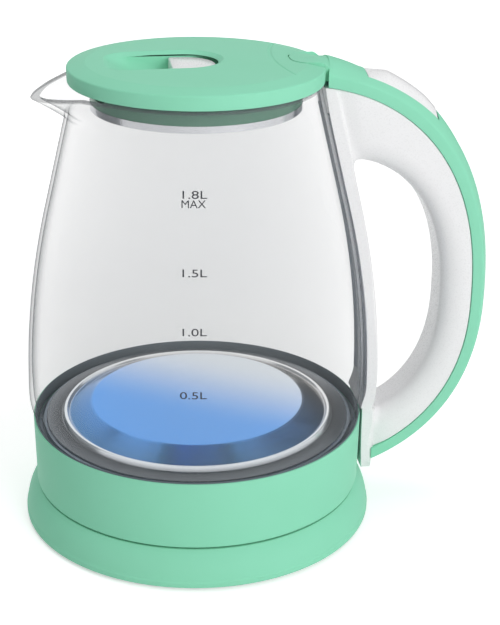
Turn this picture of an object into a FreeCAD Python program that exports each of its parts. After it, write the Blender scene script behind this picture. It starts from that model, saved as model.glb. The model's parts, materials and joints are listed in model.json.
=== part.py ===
import FreeCAD, Part
import math
import os
import re

import Sketcher

# Electric kettle: glass jug on a powered stand, with a hinged lid and a D handle.
# Millimetres. The origin is the middle of the stand's footprint, +Z is up,
# the spout points along -X and the handle along +X.

SIZES = {
    # Clearances: fixed pieces, moving pieces, and pins in their bores
    "fit_gap": 0.1,
    "running_gap": 0.4,
    "pin_gap": 0.05,
    # Screws, all of one size
    "screw_radius": 1.5,
    "screw_head_radius": 2.8,
    "screw_head_height": 1.3,
    "screw_length": 10.0,
    "screw_count": 3,
    "boss_radius": 4.0,
    # Stand
    "stand_radius": 82.0,
    "stand_height": 18.0,
    "stand_lip": 2.5,
    "stand_top_radius": 76.6,
    "stand_wall": 2.5,
    "flare_radius": 20.0,
    "seam_bevel": 1.0,
    "plate_thickness": 2.0,
    "stand_screw_circle": 58.0,
    "foot_height": 1.5,
    "foot_radius": 6.0,
    "foot_circle": 68.0,
    "foot_count": 4,
    "cord_notch_width": 8.0,
    "cord_notch_height": 7.0,
    # Connector between the stand and the jug
    "connector_radius": 21.0,
    "connector_rise": 11.0,
    "connector_flange_radius": 32.0,
    "connector_flange": 2.2,
    "contact_floor": 4.0,
    "contact_drop": 5.0,
    "contact_gap": 0.8,
    "contact_wall": 1.2,
    "pin_radius": 2.4,
    "sleeve_radius": 11.8,
    "swivel_gap": 1.2,
    "jug_connector_wall": 7.0,
    "jug_connector_lip": 4.0,
    "connector_headroom": 2.0,
    # Base of the jug
    "floor_gap": 0.6,
    "underside_thickness": 2.4,
    "ring_height": 32.0,
    "ring_top_radius": 76.9,
    "ring_draft": 0.5,
    "ring_wall": 2.4,
    "ring_lip": 1.7,
    "ledge_width": 11.0,
    "ledge_thickness": 2.5,
    "boss_inset": 6.0,
    "seal_thickness": 2.0,
    "seal_lip": 3.5,
    "seal_wall": 1.2,
    # Heater
    "pan_sheet": 1.2,
    "pan_drop": 1.5,
    "plateau_slope": 12.5,
    "plateau_rise": 5.0,
    "bead_inset": 8.3,
    "bead_width": 1.5,
    "bead_arc": 2.0,
    "spreader_inset": 6.0,
    "spreader_thickness": 3.0,
    "element_inset": 10.0,
    "element_radius": 3.4,
    "control_radius": 22.0,
    "disc_radius": 6.0,
    "disc_thickness": 0.6,
    "disc_offset": 12.0,
    "lamp_radius": 2.6,
    "lamp_height": 7.0,
    "lamp_inset": 5.0,
    # Glass
    "glass_seat": 6.0,
    "glass_wall": 3.0,
    "glass_swell": 3.2,
    "widest_rise": 12.0,
    "belly_radius": 370.0,
    "belly_height": 88.0,
    "lid_overhang": 2.2,
    "rim_rise": 157.2,
    # Spout
    "spout_reach": 71.2,
    "spout_drop": 4.9,
    "spout_keel": 14.0,
    "spout_depth": 8.2,
    "spout_angle": 50.0,
    "spout_power": 1.4,
    "spout_wall": 4.6,
    # Handle
    "handle_half_width": 14.2,
    "handle_root": 35.0,
    "handle_reach": 126.0,
    "handle_drop": 0.1,
    "handle_waist": 56.1,
    "handle_tail": 3.4,
    "handle_power": 2.32,
    "grip_root": 60.0,
    "grip_thickness": 13.4,
    "grip_drop": 34.5,
    "grip_waist": 54.4,
    "grip_sink": 6.4,
    "grip_power": 2.33,
    "grip_round": 8.0,
    "strip_gap": 1.0,
    "strip_thickness": 4.3,
    "strip_clearance": 1.6,
    "tail_rise": 5.0,
    "gasket_half_width": 12.0,
    "cover_half_width": 14.7,
    "cover_side": 5.2,
    "cover_crown": 9.2,
    "cover_top_crown": 10.4,
    "cover_tail_crown": 6.0,
    "cover_gap": 1.1,
    "channel_half_width": 6.0,
    "channel_depth": 6.0,
    "lead_half_width": 4.0,
    "lead_thickness": 1.4,
    "handle_screw_low": 8.0,
    "handle_screw_high": 19.0,
    # Switch on the handle
    "switch_length": 39.0,
    "switch_inset": 13.0,
    "switch_half_width": 8.8,
    "switch_lift": 2.0,
    "switch_side": 7.6,
    "switch_crown": 12.0,
    "switch_angle": 53.6,
    "switch_pin_radius": 1.2,
    "switch_lug_radius": 3.0,
    "switch_lug_half_width": 4.0,
    "switch_cavity": 12.0,
    "steam_box_height": 5.0,
    "steam_disc_half_length": 6.0,
    # Lid hinge
    "hinge_inset": 3.6,
    "hinge_rise": 4.1,
    "hinge_pin_radius": 1.5,
    "ear_radius": 3.6,
    "ear_half_width": 15.1,
    "ear_cap": 0.6,
    "tongue_length": 12.5,
    "tongue_half_width": 11.0,
    "tongue_round": 7.0,
    "tongue_lift": 0.5,
    # Lid
    "lid_gap": 0.5,
    "lid_radius": 56.1,
    "lid_skirt": 6.3,
    "lid_draft": 0.2,
    "lid_wall": 2.4,
    "lid_top_wall": 1.6,
    "lid_crease_inset": 8.1,
    "lid_crease_rise": 1.7,
    "lid_crown": 2.8,
    "recess_inset": 6.5,
    "recess_back": 9.4,
    "recess_half_width": 15.0,
    "recess_round": 9.0,
    "recess_depth": 9.0,
    "tray_wall": 1.8,
    "band_inset": 10.0,
    "band_wall": 2.0,
    "band_depth": 8.3,
    "lid_flange": 1.8,
    "lid_screw_inset": 6.3,
    "lid_screw_length": 4.4,
    "lid_boss_radius": 2.9,
    "underplate_rim": 3.0,
    "underplate_sheet": 1.2,
    "underplate_proud": 0.3,
    "pour_half_width": 20.9,
    "pour_height": 4.8,
    "filter_sheet": 0.8,
    "filter_slot": 1.2,
    "filter_pitch": 3.0,
    # Lid release
    "latch_travel": 8.0,
    "slider_front": 11.0,
    "slider_back": 8.5,
    "slider_half_width": 14.0,
    "slider_stem_half_width": 3.5,
    "slider_stem_front": 8.0,
    "slider_stem_back": 1.0,
    "fork_thickness": 2.4,
    "fork_drop": 1.8,
    "fork_half_width": 6.0,
    "fork_front_inset": 12.1,
    "fork_bar_width": 6.0,
    "fork_side_inset": 18.1,
    "spring_radius": 2.4,
    "spring_wall": 0.7,
    "spring_length": 16.5,
    "post_half_width": 4.0,
    "post_thickness": 2.0,
}

# Sizes that follow from others: the neck, the lid's pieces and the hinge all keep to the lid's radius
TIED = {
    "rim_radius": "lid_radius - lid_overhang",
    "band_radius": "lid_radius - band_inset",
    "lid_flange_radius": "lid_radius - lid_draft - lid_wall - fit_gap",
    "lid_crease_radius": "lid_radius - lid_crease_inset",
    "lid_screw_circle": "lid_radius - lid_screw_inset",
    "hinge_reach": "lid_radius - hinge_inset",
    "cover_start": "lid_radius + cover_gap",
    "recess_front": "band_radius - band_wall - recess_inset",
    "fork_bar_front": "band_radius - fork_front_inset",
    "fork_span": "band_radius - fork_side_inset",
}

doc = FreeCAD.newDocument("kettle")
sheet = doc.addObject("Spreadsheet::Sheet", "Sizes")
formulas = {alias: f"={formula}" for alias, formula in TIED.items()}
for row, (alias, content) in enumerate({**SIZES, **formulas}.items(), start=1):
    sheet.set(f"A{row}", alias)
    sheet.set(f"B{row}", str(content))
    sheet.setAlias(f"B{row}", alias)
doc.recompute()

nodes = []


def bound(formula):
    """A formula of size names as an expression on the sheet."""
    known = SIZES.keys() | TIED.keys()
    return re.sub(r"[a-z_]{3,}", lambda word: f"Sizes.{word[0]}" if word[0] in known else word[0], formula)


def value(formula):
    """What a formula of size names comes to, in millimetres."""
    return float(sheet.evalExpression(bound(formula)))


def node(piece):
    """Keep a finished piece, which is written under its label."""
    nodes.append(piece)
    return piece


# Heights that several pieces share
PLATE_TOP = "(foot_height + plate_thickness)"
STAND_UNDER = "(stand_height - stand_wall)"
CONTACT_FLOOR = f"({PLATE_TOP} + contact_floor)"
CONNECTOR_TOP = "(stand_height + connector_rise)"
ROOF = f"({CONNECTOR_TOP} + connector_headroom)"
ROOF_TOP = f"({ROOF} + connector_flange)"
UNDERSIDE = "(stand_height + floor_gap)"
UNDERSIDE_TOP = f"({UNDERSIDE} + underside_thickness)"
RING_TOP = "(stand_height + ring_height)"
GLASS_BOTTOM = f"({RING_TOP} - glass_seat)"
LEDGE_TOP = f"({GLASS_BOTTOM} - seal_thickness)"
LEDGE_UNDER = f"({LEDGE_TOP} - ledge_thickness)"
PAN_FLANGE = f"({RING_TOP} - pan_drop)"
PLATEAU = f"({RING_TOP} + plateau_rise)"
PLATEAU_UNDER = f"({PLATEAU} - pan_sheet)"
SPREADER_UNDER = f"({PLATEAU_UNDER} - spreader_thickness)"
WIDEST = f"({RING_TOP} + widest_rise)"
RIM = f"({RING_TOP} + rim_rise)"
LID_FOOT = f"({RIM} + lid_gap)"
LID_EDGE = f"({LID_FOOT} + lid_skirt)"
LID_TOP = f"({LID_EDGE} + lid_crown)"
DOME_UNDER = f"({LID_EDGE} + lid_crease_rise - lid_top_wall)"
TRAY_FLOOR = f"({DOME_UNDER} - recess_depth)"
TRAY_UNDER = f"({TRAY_FLOOR} - tray_wall)"
HINGE = f"({RIM} + hinge_rise)"
BAND_FOOT = f"({RIM} - band_depth)"
LID_FLANGE_TOP = f"({LID_FOOT} + lid_flange)"
FORK_TOP = f"({TRAY_UNDER} - fork_drop)"
FORK_UNDER = f"({FORK_TOP} - fork_thickness)"

# Degrees from +X at which each circle of like pieces starts, and the turn of the ring element
STAND_SCREW_START = 90.0
FOOT_START = 45.0
BOSS_START = 30.0
LAMP_START = 90.0
LID_SCREW_START = 60.0
ELEMENT_SWEEP = 330.0

# Radii that several pieces share
SOCKET_RADIUS = "(pin_radius + contact_gap)"
SLEEVE_OUTER = "(sleeve_radius + contact_wall)"
RING_CONTACT = f"({SLEEVE_OUTER} + contact_gap)"
JUG_CONNECTOR_BORE = "(connector_radius + swivel_gap)"
JUG_CONNECTOR_RADIUS = f"({JUG_CONNECTOR_BORE} + jug_connector_wall)"
RING_FOOT = "(ring_top_radius - ring_draft)"
RING_BORE = f"({RING_FOOT} - ring_wall)"
BOSS_CIRCLE = f"({RING_BORE} - boss_inset)"
LAMP_CIRCLE = f"({RING_BORE} - lamp_inset)"
LEDGE_RADIUS = f"({RING_BORE} - ledge_width)"
GLASS_FOOT = "(ring_top_radius - ring_lip)"
WIDEST_RADIUS = f"({GLASS_FOOT} + glass_swell)"
PAN_RADIUS = f"({GLASS_FOOT} - glass_wall - seal_wall - 2 * fit_gap)"
BEAD_RADIUS = f"({PAN_RADIUS} - bead_inset)"
PLATEAU_RADIUS = f"({BEAD_RADIUS} - plateau_slope)"
SPREADER_RADIUS = f"({PLATEAU_RADIUS} - spreader_inset)"
ELEMENT_CIRCLE = f"({SPREADER_RADIUS} - element_inset)"
SWITCH_END = "(handle_reach - switch_inset)"
SWITCH_START = f"({SWITCH_END} - switch_length)"
STRIP_BACK = "(ring_top_radius + strip_gap + strip_thickness)"
BAND_BORE = "(band_radius - band_wall)"


def place(piece, x, y, z):
    """Bind a piece's position to formulas."""
    for axis, formula in zip("xyz", (x, y, z)):
        piece.setExpression(f"Placement.Base.{axis}", bound(formula))


def cylinder(name, radius, low, high, x="0", y="0"):
    """An upright cylinder between two heights."""
    piece = doc.addObject("Part::Cylinder", name)
    piece.setExpression("Radius", bound(radius))
    piece.setExpression("Height", bound(f"{high} - ({low})"))
    place(piece, x, y, low)
    return piece


def cross_pin(name, radius, half_length, x, z):
    """A cylinder along Y, centred on the middle plane."""
    piece = doc.addObject("Part::Cylinder", name)
    piece.setExpression("Radius", bound(radius))
    piece.setExpression("Height", bound(f"2 * ({half_length})"))
    piece.Placement.Rotation = FreeCAD.Rotation(FreeCAD.Vector(1, 0, 0), -90)
    place(piece, x, f"-({half_length})", z)
    return piece


def lengthwise_rod(name, radius, x_low, x_high, z):
    """A cylinder along X in the middle plane."""
    piece = doc.addObject("Part::Cylinder", name)
    piece.setExpression("Radius", bound(radius))
    piece.setExpression("Height", bound(f"{x_high} - ({x_low})"))
    piece.Placement.Rotation = FreeCAD.Rotation(FreeCAD.Vector(0, 1, 0), 90)
    place(piece, x_low, "0", z)
    return piece


def box(name, x_range, y_range, z_range):
    """A box between pairs of formulas."""
    piece = doc.addObject("Part::Box", name)
    for side, (low, high) in zip(("Length", "Width", "Height"), (x_range, y_range, z_range)):
        piece.setExpression(side, bound(f"{high} - ({low})"))
    place(piece, x_range[0], y_range[0], z_range[0])
    return piece


def both_sides(half_width):
    """The pair of Y formulas of something centred on the middle plane."""
    return (f"-({half_width})", f"{half_width}")


def joined(name, *pieces):
    piece = doc.addObject("Part::MultiFuse", name)
    piece.Shapes = list(pieces)
    return piece


def cut(name, base, *tools):
    """The base less every tool."""
    piece = doc.addObject("Part::Cut", name)
    piece.Base = base
    piece.Tool = tools[0] if len(tools) == 1 else joined(f"{name}_tools", *tools)
    return piece


def shared(name, first, second):
    """What two solids have in common."""
    piece = doc.addObject("Part::Common", name)
    piece.Base = first
    piece.Tool = second
    return piece


def group(name, pieces):
    """Like pieces kept together as separate solids."""
    piece = doc.addObject("Part::Compound", name)
    piece.Links = list(pieces)
    return piece


def shaped(name, shape):
    """A piece whose surface no primitive gives."""
    piece = doc.addObject("Part::Feature", name)
    piece.Shape = shape
    return piece


def around(circle, count, start=0.0):
    """Formulas for points spaced evenly on a circle about the axis."""
    turns = [math.radians(start + 360.0 * step / count) for step in range(count)]
    return [(f"({circle} * {math.cos(turn):.6f})", f"({circle} * {math.sin(turn):.6f})") for turn in turns]


def fix(sketch, geometry, end, along, formula):
    """Hold one end of an edge at a distance from the sketch's origin."""
    number = value(formula)
    kind = "DistanceX" if along == 0 else "DistanceY"
    if abs(number) < 1e-9:
        axis = -2 if along == 0 else -1
        sketch.addConstraint(Sketcher.Constraint("PointOnObject", geometry, end, axis))
        return
    ends = (-1, 1, geometry, end) if number > 0 else (geometry, end, -1, 1)
    index = sketch.addConstraint(Sketcher.Constraint(kind, *ends, abs(number)))
    sketch.setExpression(f"Constraints[{index}]", bound(formula if number > 0 else f"-({formula})"))


def arc_edge(start, end, radius):
    """The short arc between two points: a positive radius turns left, a negative one right."""
    chord = end - start
    left = FreeCAD.Vector(-chord.y, chord.x, 0).normalize()
    rise = math.sqrt(max(radius * radius - chord.Length * chord.Length / 4, 0.0))
    centre = (start + end) * 0.5 + left * math.copysign(rise, radius)
    first, last = (start, end) if radius > 0 else (end, start)
    angles = [math.atan2(point.y - centre.y, point.x - centre.x) for point in (first, last)]
    circle = Part.Circle(centre, FreeCAD.Vector(0, 0, 1), abs(radius))
    return Part.ArcOfCircle(circle, angles[0], angles[1])


def draw(sketch, outline):
    """Draw a closed outline of corners, each two formulas and, before an arc, its radius."""
    corners = [FreeCAD.Vector(value(corner[0]), value(corner[1]), 0) for corner in outline]
    ends = []
    for start, end, corner in zip(corners, corners[1:] + corners[:1], outline):
        if len(corner) == 2:
            ends.append((sketch.addGeometry(Part.LineSegment(start, end)), 1, 2))
            continue
        radius = value(corner[2])
        edge = sketch.addGeometry(arc_edge(start, end, radius))
        ends.append((edge, 1, 2) if radius > 0 else (edge, 2, 1))
    for (edge, _, last), (follower, first, _) in zip(ends, ends[1:] + ends[:1]):
        sketch.addConstraint(Sketcher.Constraint("Coincident", edge, last, follower, first))
    for (edge, first, _), corner in zip(ends, outline):
        fix(sketch, edge, first, 0, corner[0])
        fix(sketch, edge, first, 1, corner[1])
        if len(corner) == 3:
            radius = value(corner[2])
            index = sketch.addConstraint(Sketcher.Constraint("Radius", edge, abs(radius)))
            sketch.setExpression(f"Constraints[{index}]", bound(corner[2] if radius > 0 else f"-({corner[2]})"))


def sketched(name, plane):
    """A body with an empty sketch on one of its own origin planes."""
    body = doc.addObject("PartDesign::Body", name)
    sketch = body.newObject("Sketcher::SketchObject", f"{name}_outline")
    origin = [item for item in body.Origin.OriginFeatures if item.Role == plane]
    sketch.AttachmentSupport = (origin[0], [""])
    sketch.MapMode = "FlatFace"
    return body, sketch


def turned(name, outline):
    """A body turned about the axis from an outline of (radius, height) corners."""
    body, sketch = sketched(name, "XZ_Plane")
    draw(sketch, outline)
    turn = body.newObject("PartDesign::Revolution", f"{name}_turn")
    turn.Profile = sketch
    turn.ReferenceAxis = (sketch, ["V_Axis"])
    turn.Angle = 360
    body.Tip = turn
    return body


def raised(name, outline, low, high):
    """A body pushed up between two heights from an outline of (x, y) corners."""
    body, sketch = sketched(name, "XY_Plane")
    sketch.setExpression("AttachmentOffset.Base.z", bound(low))
    draw(sketch, outline)
    pad = body.newObject("PartDesign::Pad", f"{name}_pad")
    pad.Profile = sketch
    pad.setExpression("Length", bound(f"{high} - ({low})"))
    body.Tip = pad
    return body


def tube(name, inner, outer, low, high):
    """A turned sleeve."""
    return turned(name, [(inner, low), (outer, low), (outer, high), (inner, high)])


def screw(name, x, y, head_low, length, gap="0"):
    """An upright screw with its head down. With a gap it is the hole for that screw."""
    head_top = f"({head_low} + screw_head_height)"
    head = cylinder(f"{name}_head", f"screw_head_radius + {gap}", head_low, head_top, x, y)
    shank_top = f"({head_low} + {length} + {gap})"
    shank = cylinder(f"{name}_shank", f"screw_radius + {gap}", head_low, shank_top, x, y)
    return joined(name, head, shank)


def screws(name, points, head_low, length="screw_length"):
    """A ring of like screws."""
    return group(name, [screw(f"{name}_{i}", x, y, head_low, length) for i, (x, y) in enumerate(points)])


def screw_holes(name, points, head_low, length="screw_length"):
    """The holes for a ring of screws."""
    return [screw(f"{name}_{i}", x, y, head_low, length, "fit_gap") for i, (x, y) in enumerate(points)]


# Stand: flared cover, bottom plate, rubber feet and screws
stand_points = around("stand_screw_circle", int(value("screw_count")), STAND_SCREW_START)
stand_skin = turned("stand_skin", [
    ("stand_radius", "foot_height"),
    ("stand_radius", "foot_height + stand_lip", "-flare_radius"),
    ("stand_top_radius", "stand_height - seam_bevel"),
    ("stand_top_radius - seam_bevel", "stand_height"),
    ("connector_radius + running_gap", "stand_height"),
    ("connector_radius + running_gap", STAND_UNDER),
    ("stand_top_radius - stand_wall", STAND_UNDER, "flare_radius + stand_wall"),
    ("stand_radius - stand_wall", "foot_height + stand_lip"),
    ("stand_radius - stand_wall", "foot_height"),
])
stand_bosses = [
    cylinder(f"stand_boss_{i}", "boss_radius", PLATE_TOP, STAND_UNDER, x, y)
    for i, (x, y) in enumerate(stand_points)
]
cord_notch = box(
    "cord_notch",
    both_sides("cord_notch_width / 2"),
    ("stand_radius - 2 * stand_wall", "stand_radius + stand_wall"),
    ("0", "foot_height + cord_notch_height"),
)
stand_shell = joined("stand_shell", stand_skin, *stand_bosses)
stand_cover_holes = screw_holes("stand_cover_hole", stand_points, "foot_height")
node(cut("stand_top_cover", stand_shell, cord_notch, *stand_cover_holes))

stand_disc = cylinder("stand_disc", "stand_radius - stand_wall - fit_gap", "foot_height", PLATE_TOP)
node(cut("stand_bottom_plate", stand_disc, *screw_holes("stand_plate_hole", stand_points, "foot_height")))
node(screws("stand_screws", stand_points, "foot_height"))

foot_points = around("foot_circle", int(value("foot_count")), FOOT_START)
node(group("stand_feet", [
    cylinder(f"stand_foot_{i}", "foot_radius", "0", "foot_height", x, y)
    for i, (x, y) in enumerate(foot_points)
]))

# Powered connector: a round plug on the stand, its cap under the jug, and brass contacts
node(turned("stand_connector", [
    ("0", PLATE_TOP),
    ("connector_radius", PLATE_TOP),
    ("connector_radius", f"{STAND_UNDER} - connector_flange"),
    ("connector_flange_radius", f"{STAND_UNDER} - connector_flange"),
    ("connector_flange_radius", STAND_UNDER),
    ("connector_radius", STAND_UNDER),
    ("connector_radius", CONNECTOR_TOP),
    (f"{RING_CONTACT} + contact_wall + fit_gap", CONNECTOR_TOP),
    (f"{RING_CONTACT} + contact_wall + fit_gap", CONTACT_FLOOR),
    ("sleeve_radius - contact_gap", CONTACT_FLOOR),
    ("sleeve_radius - contact_gap", CONNECTOR_TOP),
    (f"{SOCKET_RADIUS} + contact_wall + fit_gap", CONNECTOR_TOP),
    (f"{SOCKET_RADIUS} + contact_wall + fit_gap", CONTACT_FLOOR),
    ("0", CONTACT_FLOOR),
]))
contact_top = f"({CONNECTOR_TOP} - contact_drop)"
node(tube("stand_pin_socket", SOCKET_RADIUS, f"{SOCKET_RADIUS} + contact_wall", CONTACT_FLOOR, contact_top))
node(tube("stand_ring_contact", RING_CONTACT, f"{RING_CONTACT} + contact_wall", CONTACT_FLOOR, contact_top))

lip_under = f"({UNDERSIDE_TOP} + fit_gap)"
lip_top = f"({UNDERSIDE_TOP} + connector_flange)"
node(turned("jug_connector", [
    (JUG_CONNECTOR_BORE, UNDERSIDE),
    (JUG_CONNECTOR_RADIUS, UNDERSIDE),
    (JUG_CONNECTOR_RADIUS, lip_under),
    (f"{JUG_CONNECTOR_RADIUS} + jug_connector_lip", lip_under),
    (f"{JUG_CONNECTOR_RADIUS} + jug_connector_lip", lip_top),
    (JUG_CONNECTOR_RADIUS, lip_top),
    (JUG_CONNECTOR_RADIUS, ROOF_TOP),
    ("0", ROOF_TOP),
    ("0", ROOF),
    (JUG_CONNECTOR_BORE, ROOF),
]))
contact_tip = f"({CONTACT_FLOOR} + contact_drop)"
node(cylinder("jug_connector_pin", "pin_radius", contact_tip, ROOF))
node(tube("jug_connector_sleeve", "sleeve_radius", SLEEVE_OUTER, contact_tip, ROOF))

# Base of the jug: collar with its ledge and bosses, underside cover, seal and lamps
base_points = around(BOSS_CIRCLE, int(value("screw_count")), BOSS_START)
lamp_points = around(LAMP_CIRCLE, int(value("screw_count")), LAMP_START)
collar = turned("collar", [
    (RING_BORE, "stand_height"),
    (f"{RING_FOOT} - seam_bevel", "stand_height"),
    (RING_FOOT, "stand_height + seam_bevel / 2"),
    ("ring_top_radius", f"{RING_TOP} - seam_bevel / 2"),
    ("ring_top_radius - seam_bevel / 2", RING_TOP),
    (f"{GLASS_FOOT} + fit_gap", RING_TOP),
    (f"{GLASS_FOOT} + fit_gap", LEDGE_TOP),
    (LEDGE_RADIUS, LEDGE_TOP),
    (LEDGE_RADIUS, LEDGE_UNDER),
    (RING_BORE, LEDGE_UNDER),
])
collar_bosses = [
    cylinder(f"collar_boss_{i}", "boss_radius", UNDERSIDE_TOP, LEDGE_UNDER, x, y)
    for i, (x, y) in enumerate(base_points)
]
lamp_holes = [
    cylinder(f"lamp_hole_{i}", "lamp_radius + fit_gap", LEDGE_UNDER, LEDGE_TOP, x, y)
    for i, (x, y) in enumerate(lamp_points)
]
handle_screw_heights = ("(stand_height + handle_screw_low)", "(stand_height + handle_screw_high)")
handle_head = f"({RING_BORE} - screw_head_height)"


def handle_screw(name, height, gap="0"):
    """A screw along X with its head inside the collar. With a gap it is the hole for that screw."""
    head = lengthwise_rod(f"{name}_head", f"screw_head_radius + {gap}", handle_head, RING_BORE, height)
    shank_end = f"({STRIP_BACK} - screw_head_height + {gap})"
    shank = lengthwise_rod(f"{name}_shank", f"screw_radius + {gap}", handle_head, shank_end, height)
    return joined(name, head, shank)


collar_screw_holes = [
    handle_screw(f"collar_screw_hole_{i}", height, "fit_gap") for i, height in enumerate(handle_screw_heights)
]
collar_body = joined("collar_body", collar, *collar_bosses)
boss_holes = screw_holes("boss_hole", base_points, UNDERSIDE)
node(cut("base_ring", collar_body, *lamp_holes, *boss_holes, *collar_screw_holes))

underside = tube(
    "underside",
    f"{JUG_CONNECTOR_RADIUS} + running_gap",
    f"{RING_BORE} - fit_gap",
    UNDERSIDE,
    UNDERSIDE_TOP,
)
node(cut("underside_cover", underside, *screw_holes("underside_hole", base_points, UNDERSIDE)))
node(screws("underside_screws", base_points, UNDERSIDE))

seal_bore = f"({GLASS_FOOT} - glass_wall - fit_gap)"
node(turned("floor_seal", [
    (LEDGE_RADIUS, LEDGE_TOP),
    (GLASS_FOOT, LEDGE_TOP),
    (GLASS_FOOT, GLASS_BOTTOM),
    (seal_bore, GLASS_BOTTOM),
    (seal_bore, f"{GLASS_BOTTOM} + seal_lip"),
    (f"{PAN_RADIUS} + fit_gap", f"{GLASS_BOTTOM} + seal_lip"),
    (f"{PAN_RADIUS} + fit_gap", GLASS_BOTTOM),
    (LEDGE_RADIUS, GLASS_BOTTOM),
]))
node(group("led_lamps", [
    cylinder(f"led_lamp_{i}", "lamp_radius", f"{LEDGE_TOP} - lamp_height", LEDGE_TOP, x, y)
    for i, (x, y) in enumerate(lamp_points)
]))

# Heater: pressed steel floor, aluminium spreader, ring element, control and its snap discs
node(turned("heater_plate", [
    ("0", PLATEAU_UNDER),
    (f"{PLATEAU_RADIUS} - pan_sheet", PLATEAU_UNDER),
    (f"{BEAD_RADIUS} - bead_width", f"{PAN_FLANGE} - pan_sheet + bead_width / 2"),
    (f"{BEAD_RADIUS} + bead_width", f"{PAN_FLANGE} - pan_sheet"),
    (f"{PAN_RADIUS} - pan_sheet", f"{PAN_FLANGE} - pan_sheet"),
    (f"{PAN_RADIUS} - pan_sheet", GLASS_BOTTOM),
    (PAN_RADIUS, GLASS_BOTTOM),
    (PAN_RADIUS, PAN_FLANGE),
    (f"{BEAD_RADIUS} + bead_width", PAN_FLANGE, "bead_arc"),
    (f"{BEAD_RADIUS} - bead_width", f"{PAN_FLANGE} + bead_width / 2"),
    (PLATEAU_RADIUS, PLATEAU),
    ("0", PLATEAU),
]))
node(cylinder("heat_spreader", SPREADER_RADIUS, SPREADER_UNDER, PLATEAU_UNDER))
element = doc.addObject("Part::Torus", "heating_element")
element.setExpression("Radius1", bound(ELEMENT_CIRCLE))
element.setExpression("Radius2", bound("element_radius"))
element.Angle3 = ELEMENT_SWEEP
place(element, "0", "0", f"{SPREADER_UNDER} - element_radius")
node(element)
control_top = f"({SPREADER_UNDER} - disc_thickness)"
node(cylinder("thermostat_control", "control_radius", f"{ROOF_TOP} + running_gap", control_top))
node(group("overheat_discs", [
    cylinder(f"overheat_disc_{side}", "disc_radius", control_top, SPREADER_UNDER, f"{sign}disc_offset")
    for side, sign in (("front", "-"), ("back", ""))
]))

# Glass jug: turned wall, with a beak drawn out of its neck
HEEL = "((glass_swell^2 + widest_rise^2) / (2 * glass_swell))"


def belly(gap):
    """Formulas for the point where the belly's arc meets the straight neck, moved out by a gap."""
    radius = f"(belly_radius + {gap})"
    out = f"({WIDEST_RADIUS} - belly_radius + {radius} * sqrt(1 - (belly_height / belly_radius)^2))"
    return out, f"({WIDEST} + {radius} * belly_height / belly_radius)"


inner_out, inner_up = belly("(-glass_wall)")
outer_out, outer_up = belly("0")
glass_wall = turned("glass_wall_turned", [
    (f"{GLASS_FOOT} - glass_wall", GLASS_BOTTOM),
    (GLASS_FOOT, GLASS_BOTTOM),
    (GLASS_FOOT, RING_TOP, HEEL),
    (WIDEST_RADIUS, WIDEST, "belly_radius"),
    (outer_out, outer_up),
    ("rim_radius", RIM),
    ("rim_radius - glass_wall", RIM),
    (inner_out, inner_up, "-(belly_radius - glass_wall)"),
    (f"{WIDEST_RADIUS} - glass_wall", WIDEST, f"-{HEEL}"),
    (f"{GLASS_FOOT} - glass_wall", RING_TOP),
])


def neck_radius(height, gap):
    """The neck's radius at a height, moved in by a gap."""
    foot_out, foot_up, rim = value(outer_out), value(outer_up), value(RIM)
    share = (height - foot_up) / (rim - foot_up)
    return foot_out + (value("rim_radius") - foot_out) * share - gap


def beak_wire(height, reach, gap):
    """A level outline of the beak: the neck's circle pushed out to a reach along -X."""
    half_angle = math.radians(value("spout_angle"))
    radius = neck_radius(height, gap)
    steps = 16
    points = []
    for step in range(steps + 1):
        share = 2.0 * step / steps - 1.0
        out = radius + (reach - radius) * (1.0 - abs(share)) ** value("spout_power")
        turn = math.pi + share * half_angle
        points.append(FreeCAD.Vector(out * math.cos(turn), out * math.sin(turn), height))
    curves = []
    middle = steps // 2
    for stretch in (points[:middle + 1], points[middle:]):
        curve = Part.BSplineCurve()
        curve.interpolate(stretch)
        curves.append(curve.toShape())
    core = FreeCAD.Vector(-radius / 2, 0, height)
    curves.append(Part.makeLine(points[-1], core))
    curves.append(Part.makeLine(core, points[0]))
    return Part.Wire(curves)


def beak(gap, inset):
    """The beak as a solid, from below its keel to above the rim."""
    rim = value(RIM)
    keel = rim - value("spout_keel")
    reach = value("spout_reach") - inset
    neck = neck_radius(keel, gap)
    heights = (keel - gap, keel + value("spout_depth"), rim + value("glass_wall"))
    reaches = (neck, reach, reach)
    wires = [beak_wire(height, out, gap) for height, out in zip(heights, reaches)]
    return Part.makeLoft(wires, True, True)


def rim_slope():
    """All that lies above the rim, which falls from the neck to the tip of the beak."""
    rim = value(RIM)
    reach = value("spout_reach")
    inner = value("rim_radius") - value("glass_wall")
    fall = value("spout_drop") / (reach - inner)
    far = 2 * reach
    corners = [
        FreeCAD.Vector(reach, 0, rim),
        FreeCAD.Vector(-inner, 0, rim),
        FreeCAD.Vector(-far, 0, rim - fall * (far - inner)),
        FreeCAD.Vector(-far, 0, 2 * rim),
        FreeCAD.Vector(reach, 0, 2 * rim),
    ]
    face = Part.Face(Part.makePolygon(corners + corners[:1]))
    face.translate(FreeCAD.Vector(0, -far, 0))
    return face.extrude(FreeCAD.Vector(0, 2 * far, 0))


doc.recompute()
glass_bore = turned("glass_bore", [
    ("0", GLASS_BOTTOM),
    (f"{GLASS_FOOT} - glass_wall", GLASS_BOTTOM),
    (f"{GLASS_FOOT} - glass_wall", RING_TOP, HEEL),
    (f"{WIDEST_RADIUS} - glass_wall", WIDEST, "belly_radius - glass_wall"),
    (inner_out, inner_up),
    ("rim_radius - glass_wall", RIM),
    ("0", RIM),
])
beak_outside = shaped("beak_outside", beak(0.0, 0.0))
beak_inside = shaped("beak_inside", beak(value("glass_wall"), value("spout_wall")))
glass_outside = joined("glass_outside", glass_wall, beak_outside)
above_rim = shaped("above_rim", rim_slope())
node(cut("glass_jug", glass_outside, glass_bore, beak_inside, above_rim))


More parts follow.
